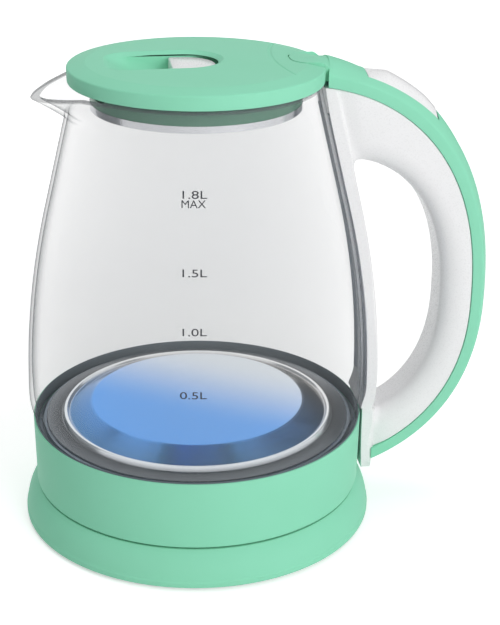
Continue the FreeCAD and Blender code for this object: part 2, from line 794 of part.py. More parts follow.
def oval(root, reach, top, waist, foot, power):
    """A half superellipse in the middle plane, from a top through its reach at the waist to a foot."""
    return {
        "root": value(root),
        "reach": value(reach),
        "top": value(top),
        "waist": value(waist),
        "foot": value(foot),
        "power": value(power),
    }


def oval_point(shape, angle, gap):
    """The point at an angle above the waist, moved out along the normal by a gap."""
    across = shape["reach"] - shape["root"]
    up = shape["top"] - shape["waist"] if angle >= 0 else shape["waist"] - shape["foot"]
    cosine = max(math.cos(angle), 0.0)
    sine = abs(math.sin(angle))
    power = 2.0 / shape["power"]
    side = math.copysign(1.0, angle)
    normal = FreeCAD.Vector(cosine ** (2.0 - power) / across, 0, side * sine ** (2.0 - power) / up)
    normal.normalize()
    x = shape["root"] + across * cosine ** power
    z = shape["waist"] + side * up * sine ** power
    return FreeCAD.Vector(x, 0, z) + normal * gap


def oval_wire(shape, gap, y):
    """The closed outline inside an oval, carried straight to the jug's axis."""
    steps = 14
    angles = [math.pi / 2 - math.pi * step / steps for step in range(steps + 1)]
    points = [oval_point(shape, angle, gap) + FreeCAD.Vector(0, y, 0) for angle in angles]
    curve = Part.BSplineCurve()
    curve.interpolate(points)
    high = FreeCAD.Vector(0, y, points[0].z)
    low = FreeCAD.Vector(0, y, points[-1].z)
    edges = [
        Part.makeLine(high, points[0]),
        curve.toShape(),
        Part.makeLine(points[-1], low),
        Part.makeLine(low, high),
    ]
    return Part.Wire(edges)


def oval_slab(shape, gap, half_width):
    """An oval pushed out evenly on both sides of the middle plane."""
    face = Part.Face(oval_wire(shape, gap, -half_width))
    return face.extrude(FreeCAD.Vector(0, 2 * half_width, 0))


def oval_loft(shape, stations):
    """An oval whose gap changes across the width, at (y, gap) stations."""
    return Part.makeLoft([oval_wire(shape, gap, y) for y, gap in stations], True, False)


# Handle: white shell with its strip along the glass, mint cover, gasket, leads and screws
handle = oval(
    "handle_root",
    "handle_reach",
    f"{RIM} - handle_drop",
    f"{RING_TOP} + handle_waist",
    "stand_height + handle_tail",
    "handle_power",
)
grip = oval(
    "grip_root",
    "handle_reach - grip_thickness",
    f"{RIM} - grip_drop",
    f"{RING_TOP} + grip_waist",
    f"{RING_TOP} - grip_sink",
    "grip_power",
)


def jug_envelope(name, gap):
    """The jug's outside with its collar, filled and moved out by a gap."""
    out, up = belly(gap)
    low = "(stand_height - stand_lip)"
    high = f"({RIM} + lid_skirt)"
    slope = f"((rim_radius - {outer_out}) / ({RIM} - {outer_up}))"
    return turned(name, [
        ("0", low),
        (f"ring_top_radius + {gap}", low),
        (f"ring_top_radius + {gap}", f"{RING_TOP} + seam_bevel"),
        (f"{WIDEST_RADIUS} + {gap}", WIDEST, f"belly_radius + {gap}"),
        (out, up),
        (f"{out} + {slope} * ({high} - {up})", high),
        ("0", high),
    ])


def grip_stations():
    """Stations of the finger gap, whose edges flare out in a quarter circle."""
    half = value("handle_half_width")
    rounding = value("grip_round")
    stations = []
    for quarter in range(5):
        turn = math.pi / 2 * quarter / 4
        stations.append((half - rounding + rounding * math.sin(turn), rounding * (1 - math.cos(turn))))
    sides = [(-y, gap) for y, gap in reversed(stations)]
    beyond = half + rounding / 4
    return [(-beyond, rounding)] + sides + stations + [(beyond, rounding)]


half_width = value("handle_half_width")
handle_blank = shaped("handle_blank", oval_slab(handle, 0.0, half_width))
handle_tail = box(
    "handle_tail_block",
    ("ring_top_radius - ring_wall", STRIP_BACK),
    both_sides("handle_half_width"),
    ("stand_height + strip_clearance", f"{RING_TOP} + tail_rise"),
)
finger_gap = shaped("finger_gap", oval_loft(grip, grip_stations()))
strip_body = jug_envelope("strip_body", "(strip_gap + strip_thickness)")
finger_hole = cut("finger_hole", finger_gap, strip_body)
jug_space = jug_envelope("jug_space", "strip_gap")

channel_outer = oval_slab(handle, value("fit_gap"), value("channel_half_width"))
channel_inner = oval_slab(handle, -value("channel_depth"), value("channel_half_width"))
channel_band = shaped("channel_band", channel_outer.cut(channel_inner))
channel_room = box(
    "channel_room",
    (f"{STRIP_BACK} + strip_thickness", "2 * handle_reach"),
    both_sides("handle_reach"),
    ("stand_height", RIM),
)
channel = shared("channel", channel_band, channel_room)

cavity_half = value("switch_half_width + running_gap + fit_gap")
cavity_outer = oval_slab(handle, value("fit_gap"), cavity_half)
cavity_inner = oval_slab(handle, -value("switch_cavity"), cavity_half)
cavity_band = shaped("cavity_band", cavity_outer.cut(cavity_inner))
switch_room = box(
    "switch_room",
    (SWITCH_START, SWITCH_END),
    both_sides("handle_reach"),
    (f"{RING_TOP} + handle_waist", f"{RIM} + lid_radius"),
)
switch_cavity = shared("switch_cavity", cavity_band, switch_room)
shell_screw_holes = [
    handle_screw(f"shell_screw_hole_{i}", height, "fit_gap") for i, height in enumerate(handle_screw_heights)
]
handle_body = joined("handle_body", handle_blank, handle_tail)
node(cut("handle_shell", handle_body, jug_space, finger_hole, channel, switch_cavity, *shell_screw_holes))
node(group("handle_screws", [
    handle_screw(f"handle_screw_{i}", height) for i, height in enumerate(handle_screw_heights)
]))

lead_half = value("lead_half_width")
lead_floor = -value("channel_depth")
lead_band = oval_slab(handle, lead_floor + value("lead_thickness"), lead_half)
lead_band = lead_band.cut(oval_slab(handle, lead_floor, lead_half))
lead_room = box(
    "lead_room",
    (f"{SWITCH_END} + fit_gap", "2 * handle_reach"),
    both_sides("handle_reach"),
    (f"{RING_TOP} + tail_rise", RIM),
)
node(shared("handle_leads", shaped("lead_band", lead_band), lead_room))

gasket_skin = cut(
    "gasket_skin",
    jug_envelope("gasket_outside", "(strip_gap - fit_gap)"),
    jug_envelope("gasket_inside", "fit_gap"),
)
gasket_room = box(
    "gasket_room",
    ("0", "handle_reach"),
    both_sides("gasket_half_width"),
    (WIDEST, f"{RIM} - spout_keel"),
)
node(shared("handle_gasket", gasket_skin, gasket_room))

# Lid hinge: a round tongue on the handle cover, which the lid's ears turn about
doc.recompute()


def hinge_barrel(gap):
    """A drum about the hinge pin with rounded ends, as long as the tongue."""
    half = value("tongue_half_width") + gap
    start = FreeCAD.Vector(value("hinge_reach"), -half, value(HINGE))
    drum = Part.makeCylinder(value("tongue_length") + gap, 2 * half, start, FreeCAD.Vector(0, 1, 0))
    rings = [edge for edge in drum.Edges if edge.Closed and len(edge.Vertexes) == 1]
    circles = [edge for edge in rings if isinstance(edge.Curve, Part.Circle)]
    return drum.makeFillet(value("tongue_round"), circles)


def crowned_oval(half, side, back, top, tail):
    """The handle's oval moved out, which swells across its width from its sides to a crown: the
    crown has its own height at the back, the top and the tail."""
    wires = []
    for share in (-1.0, -0.75, -0.4, 0.0, 0.4, 0.75, 1.0):
        rise = 1 - share * share
        swollen = dict(handle)
        swollen["reach"] += (back - side) * rise
        swollen["top"] += (top - side) * rise
        swollen["foot"] -= (tail - side) * rise
        wires.append(oval_wire(swollen, side, share * half))
    return Part.makeLoft(wires, True, False)


cover_blank = crowned_oval(
    value("cover_half_width"),
    value("cover_side"),
    value("cover_crown"),
    value("cover_top_crown"),
    value("cover_tail_crown"),
)
cover_keep = box(
    "cover_keep",
    ("cover_start", "2 * handle_reach"),
    both_sides("handle_reach"),
    ("0", f"{RIM} + lid_radius"),
)
tongue_keep = box(
    "tongue_keep",
    ("0", "cover_start + running_gap"),
    both_sides("handle_reach"),
    (f"{RIM} + tongue_lift", f"{LID_EDGE} + lid_crease_rise + tongue_lift"),
)
cover_back = shared("cover_back", shaped("cover_blank", cover_blank), cover_keep)
tongue = shared("tongue", shaped("tongue_drum", hinge_barrel(0.0)), tongue_keep)
cover_solid = joined("cover_solid", cover_back, tongue)
cover_inside = shaped("cover_inside", oval_slab(handle, value("fit_gap"), value("2 * cover_half_width")))
tail_clear = box(
    "tail_clear",
    ("0", f"{STRIP_BACK} + fit_gap"),
    both_sides("handle_reach"),
    ("0", f"{RING_TOP} + tail_rise"),
)
switch_window = box(
    "switch_window",
    (SWITCH_START, SWITCH_END),
    both_sides("switch_half_width + running_gap + fit_gap"),
    (f"{RING_TOP} + handle_waist", f"{RIM} + lid_radius"),
)
hinge_bore = cross_pin("hinge_bore", "hinge_pin_radius", "ear_half_width", "hinge_reach", HINGE)

pin_spot = oval_point(handle, math.radians(value("switch_angle")), value("fit_gap + 2 * switch_pin_radius"))


def switch_rod(radius, half_length):
    """A cylinder along Y at the switch's pivot."""
    start = FreeCAD.Vector(pin_spot.x, -half_length, pin_spot.z)
    return Part.makeCylinder(radius, 2 * half_length, start, FreeCAD.Vector(0, 1, 0))


pin_half = value("(switch_half_width + cover_half_width) / 2")
switch_bore = shaped("switch_bore", switch_rod(value("switch_pin_radius"), pin_half))
node(cut(
    "handle_cover", cover_solid, cover_inside, tail_clear, switch_window, hinge_bore, switch_bore,
))
node(cross_pin("hinge_pin", "hinge_pin_radius", "ear_half_width - ear_cap - fit_gap", "hinge_reach", HINGE))
node(shaped("switch_pin", switch_rod(value("switch_pin_radius"), pin_half)))

# Switch: rocker in the cover's window, with the steam switch and its disc below
rocker_half = value("switch_half_width")
rocker_crown = value("switch_crown")
rocker_outer = crowned_oval(rocker_half, value("switch_side"), rocker_crown, rocker_crown, rocker_crown)
rocker_inner = oval_slab(handle, value("switch_lift"), rocker_half)
rocker_room = box(
    "rocker_room",
    (f"{SWITCH_START} + running_gap", f"{SWITCH_END} - running_gap"),
    both_sides("handle_reach"),
    (f"{RING_TOP} + handle_waist", f"{RIM} + lid_radius"),
)
rocker_plate = shared("rocker_plate", shaped("rocker_band", rocker_outer.cut(rocker_inner)), rocker_room)
rocker_lug = shaped("rocker_lug", switch_rod(value("switch_lug_radius"), value("switch_lug_half_width")))
rocker_bore = shaped("rocker_bore", switch_rod(value("switch_pin_radius + pin_gap"), 2 * pin_half))
node(cut("switch_rocker", joined("rocker_solid", rocker_plate, rocker_lug), rocker_bore))

steam_floor = -value("switch_cavity")
steam_top = steam_floor + value("steam_box_height")
steam_outer = oval_slab(handle, steam_top, rocker_half)
steam_band = shaped("steam_band", steam_outer.cut(oval_slab(handle, steam_floor, rocker_half)))
steam_room = box(
    "steam_room",
    (f"{SWITCH_START} + boss_radius", f"{SWITCH_END} - boss_radius"),
    both_sides("handle_reach"),
    (f"{RING_TOP} + handle_waist", RIM),
)
node(shared("steam_switch", steam_band, steam_room))
disc_outer = oval_slab(handle, steam_top + value("disc_thickness"), value("disc_radius"))
disc_band = shaped("disc_band", disc_outer.cut(oval_slab(handle, steam_top, value("disc_radius"))))
disc_room = box(
    "disc_room",
    (f"{SWITCH_START} + boss_radius", f"{SWITCH_START} + boss_radius + 2 * steam_disc_half_length"),
    both_sides("handle_reach"),
    (f"{RING_TOP} + handle_waist", RIM),
)
node(shared("steam_disc", disc_band, disc_room))

# Lid: domed cover with its finger recess, band, steel pan, sieve and screws


def recess(name, back, gap, low, high):
    """A slot with a square-cornered front, rounded, and a half-round back, widened by a gap."""
    front = f"-(recess_front + {gap})"
    side = f"(recess_half_width + {gap})"
    corner = f"(recess_round + {gap})"
    straight = f"({back} - recess_half_width)"
    return raised(name, [
        (f"{front} + {corner}", f"-{side}"),
        (straight, f"-{side}", side),
        (f"{straight} + {side}", "0", side),
        (straight, side),
        (f"{front} + {corner}", side, corner),
        (front, f"{side} - {corner}"),
        (front, f"-({side} - {corner})", corner),
    ], low, high)


lid_points = around("lid_screw_circle", int(value("screw_count")), LID_SCREW_START)
lid_dome = turned("lid_dome", [
    ("lid_radius - lid_draft - lid_wall", LID_FOOT),
    ("lid_radius - lid_draft", LID_FOOT),
    ("lid_radius", LID_EDGE),
    ("lid_crease_radius", f"{LID_EDGE} + lid_crease_rise"),
    ("0", LID_TOP),
    ("0", f"{LID_TOP} - lid_top_wall"),
    ("lid_crease_radius", DOME_UNDER),
    ("lid_radius - lid_draft - lid_wall", f"{LID_EDGE} - lid_wall"),
])
slide_back = "(recess_back + latch_travel + running_gap)"
tray_top = f"({LID_EDGE} + lid_crease_rise - fit_gap)"
tray = recess("tray", slide_back, "tray_wall", TRAY_UNDER, tray_top)
tray_pocket = recess("tray_pocket", slide_back, "0", TRAY_FLOOR, DOME_UNDER)
recess_mouth = recess("recess_mouth", "recess_back", "0", TRAY_FLOOR, f"{LID_TOP} + lid_crown")
stem_slot = box(
    "stem_slot",
    ("-(slider_stem_front + running_gap)", "latch_travel - slider_stem_back + running_gap"),
    both_sides("slider_stem_half_width + running_gap"),
    (f"{TRAY_UNDER} - tray_wall", f"{TRAY_FLOOR} + tray_wall"),
)
lid_bosses = [
    cylinder(f"lid_boss_{i}", "lid_boss_radius", LID_FLANGE_TOP, LID_EDGE, x, y)
    for i, (x, y) in enumerate(lid_points)
]
spring_post = box(
    "spring_post",
    ("spring_length", "spring_length + post_thickness"),
    both_sides("post_half_width"),
    (FORK_UNDER, TRAY_FLOOR),
)
lid_blank = joined("lid_blank", lid_dome, tray, spring_post, *lid_bosses)
hinge_clear = box(
    "hinge_clear",
    ("hinge_reach", "2 * lid_radius"),
    both_sides("ear_half_width"),
    (f"{LID_FOOT} - lid_skirt", f"{LID_TOP} + lid_crown"),
)
lid_drum = shaped("lid_drum", hinge_barrel(value("running_gap")))
lid_hollow = cut(
    "lid_hollow", lid_blank, tray_pocket, recess_mouth, stem_slot, hinge_clear, lid_drum,
    *screw_holes("lid_hole", lid_points, LID_FOOT, "lid_screw_length"),
)
ear_bar = cross_pin("ear_bar", "ear_radius", "ear_half_width", "hinge_reach", HINGE)
ear_split = box(
    "ear_split",
    ("0", "2 * lid_radius"),
    both_sides("tongue_half_width + running_gap"),
    (f"{LID_FOOT} - lid_skirt", f"{LID_TOP} + lid_crown"),
)
lid_ears = cut("lid_ears", ear_bar, ear_split)
ear_bore = cross_pin("ear_bore", "hinge_pin_radius + pin_gap", "ear_half_width - ear_cap", "hinge_reach", HINGE)
node(cut("lid_cover", joined("lid_with_ears", lid_hollow, lid_ears), ear_bore))

band_top = f"({DOME_UNDER} - fit_gap)"
band = turned("band", [
    (BAND_BORE, BAND_FOOT),
    ("band_radius", BAND_FOOT),
    ("band_radius", LID_FOOT),
    ("lid_flange_radius", LID_FOOT),
    ("lid_flange_radius", LID_FLANGE_TOP),
    ("band_radius", LID_FLANGE_TOP),
    ("band_radius", band_top),
    (BAND_BORE, band_top),
])
pour_top = f"({RIM} - fit_gap)"
pour_window = box(
    "pour_window",
    ("-lid_radius", "-band_radius / 2"),
    both_sides("pour_half_width"),
    (f"{pour_top} - pour_height", pour_top),
)
node(cut(
    "lid_insert", band, pour_window,
    shaped("band_drum", hinge_barrel(value("running_gap"))),
    cross_pin("ear_room", "ear_radius + fit_gap", "ear_half_width + fit_gap", "hinge_reach", HINGE),
    *screw_holes("band_hole", lid_points, LID_FOOT, "lid_screw_length"),
))
node(screws("lid_screws", lid_points, LID_FOOT, "lid_screw_length"))

pan_foot = f"({BAND_FOOT} - underplate_rim)"
lid_pan = turned("lid_pan", [
    ("0", pan_foot),
    ("band_radius + underplate_proud", pan_foot),
    ("band_radius + underplate_proud", BAND_FOOT),
    (BAND_BORE, BAND_FOOT),
    (BAND_BORE, f"{pan_foot} + underplate_sheet"),
    ("0", f"{pan_foot} + underplate_sheet"),
])
node(cut("lid_underplate", lid_pan, shaped("pan_drum", hinge_barrel(value("running_gap")))))

sieve_foot = f"({pour_top} - pour_height - filter_sheet)"
sieve_ring = tube(
    "sieve_ring",
    f"{BAND_BORE} - fit_gap - filter_sheet",
    f"{BAND_BORE} - fit_gap",
    sieve_foot,
    f"{pour_top} + filter_sheet",
)
sieve_room = box(
    "sieve_room",
    ("-lid_radius", "0"),
    both_sides("pour_half_width + filter_pitch / 2"),
    (f"{sieve_foot} - filter_sheet", f"{RIM} + lid_skirt"),
)
sieve_plate = shared("sieve_plate", sieve_ring, sieve_room)
slot_count = int(value("pour_half_width") / value("filter_pitch"))
sieve_slots = [
    box(
        f"sieve_slot_{i + slot_count}",
        ("-lid_radius", "-band_radius / 2"),
        (f"{i} * filter_pitch - filter_slot / 2", f"{i} * filter_pitch + filter_slot / 2"),
        (f"{pour_top} - pour_height", pour_top),
    )
    for i in range(-slot_count, slot_count + 1)
]
node(cut("pour_filter", sieve_plate, *sieve_slots))

# Lid release: white slider, the fork that it pulls, and the spring that returns both
slider_low = f"({TRAY_FLOOR} + running_gap)"
slider_side = "slider_half_width"
slider_straight = "(slider_back - slider_half_width)"
slider_pad = raised("slider_pad", [
    ("-slider_front", f"-{slider_side}"),
    (slider_straight, f"-{slider_side}", slider_side),
    ("slider_back", "0", slider_side),
    (slider_straight, slider_side),
    ("-slider_front", slider_side),
], slider_low, f"({DOME_UNDER} - running_gap)")
slider_stem = box(
    "slider_stem",
    ("-slider_stem_front", "-slider_stem_back"),
    both_sides("slider_stem_half_width"),
    (FORK_TOP, f"{slider_low} + tray_wall"),
)
node(joined("latch_slider", slider_pad, slider_stem))
fork_spine = box(
    "fork_spine",
    ("-fork_bar_front", "0"),
    both_sides("fork_half_width"),
    (FORK_UNDER, FORK_TOP),
)
fork_bar = box(
    "fork_bar",
    ("-fork_bar_front", "-(fork_bar_front - fork_bar_width)"),
    both_sides("fork_span"),
    (FORK_UNDER, FORK_TOP),
)
node(joined("latch_fork", fork_spine, fork_bar))
fork_middle = f"(({FORK_UNDER} + {FORK_TOP}) / 2)"
spring_rod = lengthwise_rod("spring_rod", "spring_radius", "0", "spring_length", fork_middle)
spring_core = lengthwise_rod("spring_core", "spring_radius - spring_wall", "0", "spring_length", fork_middle)
node(cut("latch_spring", spring_rod, spring_core))

doc.recompute()
for item in doc.Objects:
    if "Invalid" in item.State or "Error" in item.State:
        raise RuntimeError(f"{item.Label} did not build")
for piece in nodes:
    if piece.Shape.isNull() or not piece.Shape.isValid():
        raise RuntimeError(f"{piece.Label} is not a sound solid")

os.makedirs("parts", exist_ok=True)
for piece in nodes:
    piece.Shape.exportStep(f"parts/{piece.Label}.step")
    print(piece.Label, len(piece.Shape.Solids), round(piece.Shape.Volume))
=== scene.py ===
import json
import math

import bmesh
import bpy
import numpy as np
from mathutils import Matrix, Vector


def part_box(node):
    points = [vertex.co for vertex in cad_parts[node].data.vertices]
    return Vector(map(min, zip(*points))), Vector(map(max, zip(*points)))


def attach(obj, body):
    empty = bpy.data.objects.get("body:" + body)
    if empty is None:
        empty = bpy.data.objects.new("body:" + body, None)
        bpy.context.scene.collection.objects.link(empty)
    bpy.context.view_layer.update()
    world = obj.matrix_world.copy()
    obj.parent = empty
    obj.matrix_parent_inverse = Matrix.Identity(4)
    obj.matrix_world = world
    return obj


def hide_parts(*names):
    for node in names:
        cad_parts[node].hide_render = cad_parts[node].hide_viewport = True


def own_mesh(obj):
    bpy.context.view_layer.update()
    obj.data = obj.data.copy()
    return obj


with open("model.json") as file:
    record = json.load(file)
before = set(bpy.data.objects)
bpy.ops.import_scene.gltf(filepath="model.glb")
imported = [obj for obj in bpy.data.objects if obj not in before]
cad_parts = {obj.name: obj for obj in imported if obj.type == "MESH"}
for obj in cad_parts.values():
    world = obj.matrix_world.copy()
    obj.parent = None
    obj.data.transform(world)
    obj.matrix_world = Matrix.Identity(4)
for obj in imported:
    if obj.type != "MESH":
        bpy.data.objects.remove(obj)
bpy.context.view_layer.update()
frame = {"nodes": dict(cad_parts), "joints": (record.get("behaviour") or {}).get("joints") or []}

# Stand cover: the flared foot under the jug, one thin-walled moulding in mint ABS.
# Its top edge has a shallow groove where the jug's ring comes down, and a notch in the skirt at the
# back lets a lead in. All sizes in this file are millimetres unless a line says metres.
stand_radius = 82.0
skirt_foot = 1.5
skirt_upright = 4.0
skirt_wall = 2.5
flare_sag = 1.1
shoulder_radius = 76.0
shoulder_height = 17.6
groove_outside = 74.6
groove_inside = 73.4
groove_floor = 16.5
deck_height = 18.0
deck_wall = 2.5
plug_hole = 21.1
notch_half = 4.0
notch_height = 7.0


def rounded(corners, arc=7):
    """A profile with eased corners: each corner (r, z, fillet) becomes an arc that touches both of
    its sides, with its centre on the corner's bisector; a fillet of 0 keeps the sharp point."""
    corners = np.array(corners, float)
    here = corners[:, :2]
    fillet = corners[:, 2:]
    back = np.roll(here, 1, 0) - here
    ahead = np.roll(here, -1, 0) - here
    back /= np.linalg.norm(back, axis=1, keepdims=True)
    ahead /= np.linalg.norm(ahead, axis=1, keepdims=True)
    half = np.arccos(np.clip((back * ahead).sum(1, keepdims=True), -1, 1)) / 2
    bisector = back + ahead
    bisector /= np.linalg.norm(bisector, axis=1, keepdims=True) + 1e-9
    centre = here + bisector * fillet / np.sin(half)
    start = here + back * fillet / np.tan(half) - centre
    end = here + ahead * fillet / np.tan(half) - centre
    turn = np.maximum(np.pi - 2 * half, 1e-6)[:, None]
    t = np.linspace(0, 1, arc)[None, :, None]
    swung = np.sin((1 - t) * turn) * start[:, None] + np.sin(t * turn) * end[:, None]
    return (centre[:, None] + swung / np.sin(turn)).reshape(-1, 2)


def bowed(start, end, sag, count=16):
    """Corners on a bowed line: the straight run from start to end, pushed square to it by a
    parabola that reaches sag halfway."""
    t = np.linspace(0, 1, count)[:, None]
    run = np.subtract(end, start)
    square = np.array([run[1], -run[0]]) / np.hypot(*run)
    line = np.array(start) + t * run + 4 * sag * t * (1 - t) * square
    return np.concatenate([line, 0 * t], 1)


def placed(name, data):
    """A new object at the origin that shows this data."""
    made = bpy.data.objects.new(name, data)
    bpy.context.scene.collection.objects.link(made)
    return made


def surface(name, points, wrap=(True, True), crease=32):
    """A mesh from a grid of points in millimetres: grid neighbours are joined by quads, each
    direction may close on itself, doubled points (poles, fillets) merge, and faces turn outwards.
    Edges that turn by more than the crease angle stay sharp."""
    rows, columns = points.shape[:2]
    index = np.arange(rows * columns).reshape(rows, columns)
    index = np.concatenate([index, index[:1]], 0) if wrap[0] else index
    index = np.concatenate([index, index[:, :1]], 1) if wrap[1] else index
    quads = np.stack([index[:-1, :-1], index[1:, :-1], index[1:, 1:], index[:-1, 1:]], -1)
    mesh = bpy.data.meshes.new(name)
    mesh.from_pydata((points.reshape(-1, 3) / 1000).tolist(), [], quads.reshape(-1, 4).tolist())
    made = bmesh.new()
    made.from_mesh(mesh)
    bmesh.ops.remove_doubles(made, verts=made.verts, dist=2e-6)
    bmesh.ops.dissolve_degenerate(made, edges=made.edges, dist=1e-6)
    bmesh.ops.recalc_face_normals(made, faces=made.faces)
    made.to_mesh(mesh)
    made.free()
    mesh.shade_smooth()
    mesh.set_sharp_from_angle(angle=math.radians(crease))
    return placed(name, mesh)


def turned(name, corners, steps=224, ring=True):
    """A turned piece: the eased profile swung round the kettle's axis, x = r cos a, y = r sin a.
    A ring's profile closes on itself; any other starts and ends on the axis, once each."""
    arc = 7
    profile = rounded(corners, arc)
    profile = profile if ring else profile[arc - 1:1 - arc]
    angle = np.linspace(0, 2 * np.pi, steps, endpoint=False)[:, None]
    r, z = profile.T
    points = np.stack([np.cos(angle) * r, np.sin(angle) * r, 0 * angle + z], -1)
    return surface(name, points, (True, ring))


def settled(piece):
    """A mesh of the piece as it stands, with its cuts or its lettering worked in."""
    bpy.context.view_layer.update()
    return bpy.data.meshes.new_from_object(piece.evaluated_get(bpy.context.evaluated_depsgraph_get()))


def carved(piece, *cutters):
    """The piece with closed cutters taken out of it; the cutters are used up."""
    for cutter in cutters:
        cut = piece.modifiers.new("cut", "BOOLEAN")
        cut.object = cutter
        cut.solver = "EXACT"
    mesh = settled(piece)
    piece.modifiers.clear()
    piece.data = mesh
    for cutter in cutters:
        bpy.data.objects.remove(cutter)
    return piece


def slab(name, low, high):
    """A plain block between two corners: a ring of four points lofted upwards, with its ends drawn
    in to their middle points."""
    x = np.array([low[0], high[0], high[0], low[0]])
    y = np.array([low[1], low[1], high[1], high[1]])
    levels = np.array([low[2], low[2], high[2], high[2]])[:, None]
    inset = np.array([0, 1, 1, 0])[:, None]
    middle = (np.add(low, high) / 2)[:2]
    points = np.stack([middle[0] + inset * (x - middle[0]), middle[1] + inset * (y - middle[1]),
                       levels + 0 * x], -1)
    return surface(name, points, (False, True))


def linear(code):
    """An sRGB hex colour as linear RGBA: c/12.92 in the dark, ((c + 0.055)/1.055)^2.4 above."""
    c = np.array([int(code[i:i + 2], 16) for i in (1, 3, 5)]) / 255
    return (*np.where(c <= 0.04045, c / 12.92, ((c + 0.055) / 1.055) ** 2.4), 1)


def add(tree, kind, sockets=(), **settings):
    """One node with its settings; sockets pairs an input with a value or with another's output."""
    made = tree.nodes.new("ShaderNode" + kind)
    for key, value in settings.items():
        setattr(made, key, value)
    for key, value in dict(sockets).items():
        if isinstance(value, bpy.types.NodeSocket):
            tree.links.new(value, made.inputs[key])
        else:
            made.inputs[key].default_value = value
    return made


def started(name):
    """A new material, with its node tree, its shader and the piece's own Object coordinates."""
    material = bpy.data.materials.new(name)
    material.use_nodes = True
    tree = material.node_tree
    return material, tree, tree.nodes["Principled BSDF"], add(tree, "TexCoord").outputs["Object"]


def coloured(tree, shader, pattern, shades):
    """The shader's colour: a pattern mixes two close shades."""
    shade = add(tree, "Mix", {0: pattern, 6: linear(shades[0]), 7: linear(shades[1])}, data_type="RGBA")
    tree.links.new(shade.outputs[2], shader.inputs["Base Color"])


def textured(tree, shader, pattern, roughness, depth_mm):
    """The shader's gloss and relief: a pattern takes the roughness from its lower to its upper value
    and stands out by a depth."""
    gloss = add(tree, "MapRange", {"Value": pattern, "To Min": roughness[0], "To Max": roughness[1]})
    tree.links.new(gloss.outputs["Result"], shader.inputs["Roughness"])
    bump = add(tree, "Bump", {"Height": pattern, "Distance": depth_mm / 1000, "Strength": 0.3})
    tree.links.new(bump.outputs["Normal"], shader.inputs["Normal"])


def moulded(name, shades, roughness, grain_mm, depth_mm, **sockets):
    """A moulded plastic or rubber: two close shades drift over some 30 mm, and the tool's grain
    roughens and bumps the surface. Real tool grain is about 0.1 mm and is drawn coarser here, so
    that it shows."""
    material, tree, shader, place = started(name)
    drift_mm = 30
    drift = add(tree, "TexNoise", {"Vector": place, "Scale": 1000 / drift_mm, "Detail": 2.0})
    coloured(tree, shader, drift.outputs["Fac"], shades)
    grain = add(tree, "TexNoise", {"Vector": place, "Scale": 1000 / grain_mm, "Detail": 3.0})
    textured(tree, shader, grain.outputs["Fac"], roughness, depth_mm)
    for key, value in sockets.items():
        shader.inputs[key.replace("_", " ")].default_value = value
    return material


def dressed(piece, material):
    """The piece takes this material and no other."""
    piece.data.materials.clear()
    piece.data.materials.append(material)


def fitted(piece, material, body, slot, *nodes):
    """The piece takes its material, rides its body and stands for the CAD nodes named."""
    dressed(piece, material)
    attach(piece, body)
    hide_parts(*nodes)


def finished(material, *nodes):
    """CAD nodes that keep their own shape take this material."""
    for node in nodes:
        dressed(frame["nodes"][node], material)


# Mint ABS, injection moulded with a fine satin tool grain: an even soft green with a broad sheen.
mint = moulded("mint_abs_satin", ("#8EDBB9", "#93DEBF"), (0.42, 0.52), 0.7, 0.003,
               Specular_IOR_Level=0.06)
flare_foot = (stand_radius - 0.4, skirt_upright + 0.6)
flare_head = (shoulder_radius + 0.5, shoulder_height - 0.6)
stand = turned("stand_flare", [
    (stand_radius, skirt_foot, 0.5),
    (stand_radius, skirt_upright, 1.2),
    *bowed(flare_foot, flare_head, flare_sag),
    (shoulder_radius, shoulder_height, 0.4),
    (groove_outside + 0.3, shoulder_height, 0.3),
    (groove_outside, groove_floor, 0.2),
    (groove_inside, groove_floor, 0.2),
    (groove_inside - 0.4, deck_height, 0.3),
    (plug_hole, deck_height, 0.3),
    (plug_hole, deck_height - deck_wall, 0.3),
    (groove_inside + 0.2, deck_height - deck_wall - 0.1, 1.0),
    (stand_radius - skirt_wall, skirt_upright, 0),
    (stand_radius - skirt_wall, skirt_foot, 0.3),
])
# A cutter reaches well past the wall that it opens, here and below
carved(stand, slab("cord_notch", (-notch_half, 70, 0), (notch_half, 90, notch_height)))
fitted(stand, mint, "stand", "mint_plastic", "stand_top_cover")

# Stand floor: a flat black nylon plate on three screws, with four rubber feet under it and the round
# power plug in its middle. The plug's body is heat-proof nylon; its socket and contact ring are
# pressed brass.

# Black nylon, moulded in a matt tool: nearly black, with a soft wide sheen.
black = moulded("black_nylon_satin", ("#17181A", "#1E1F21"), (0.38, 0.5), 0.8, 0.015)
# Foot rubber, pressed in a rough tool: a dull black that hardly shines.
rubber = moulded("black_foot_rubber", ("#1B1B1C", "#242425"), (0.7, 0.85), 0.5, 0.02)


def metal(name, shades, roughness, ring_mm, depth_mm):
    """A worked metal: concentric tool rings of the given pitch about the kettle's axis vary the
    shade and the roughness, and a fine noise breaks them up. Real tool rings lie some 0.2 mm apart
    and are drawn coarser here, so that they show. With no shades the colour is left to the caller."""
    material, tree, shader, place = started(name)
    shader.inputs["Metallic"].default_value = 1.0
    # A wave of scale 1 has a ring every 2 pi / 20 metres
    scale = 2 * math.pi / 20 * 1000 / ring_mm
    rings = add(tree, "TexWave", {"Vector": place, "Scale": scale, "Distortion": 0.8, "Detail": 2.0},
                wave_type="RINGS", rings_direction="Z")
    if shades:
        coloured(tree, shader, rings.outputs["Fac"], shades)
    textured(tree, shader, rings.outputs["Fac"], roughness, depth_mm)
    return material


# Brass, pressed and tumbled: a warm yellow with soft, broken reflections.
brass = metal("pressed_brass", ("#C9A24D", "#D6B562"), (0.2, 0.32), 1.2, 0.004)
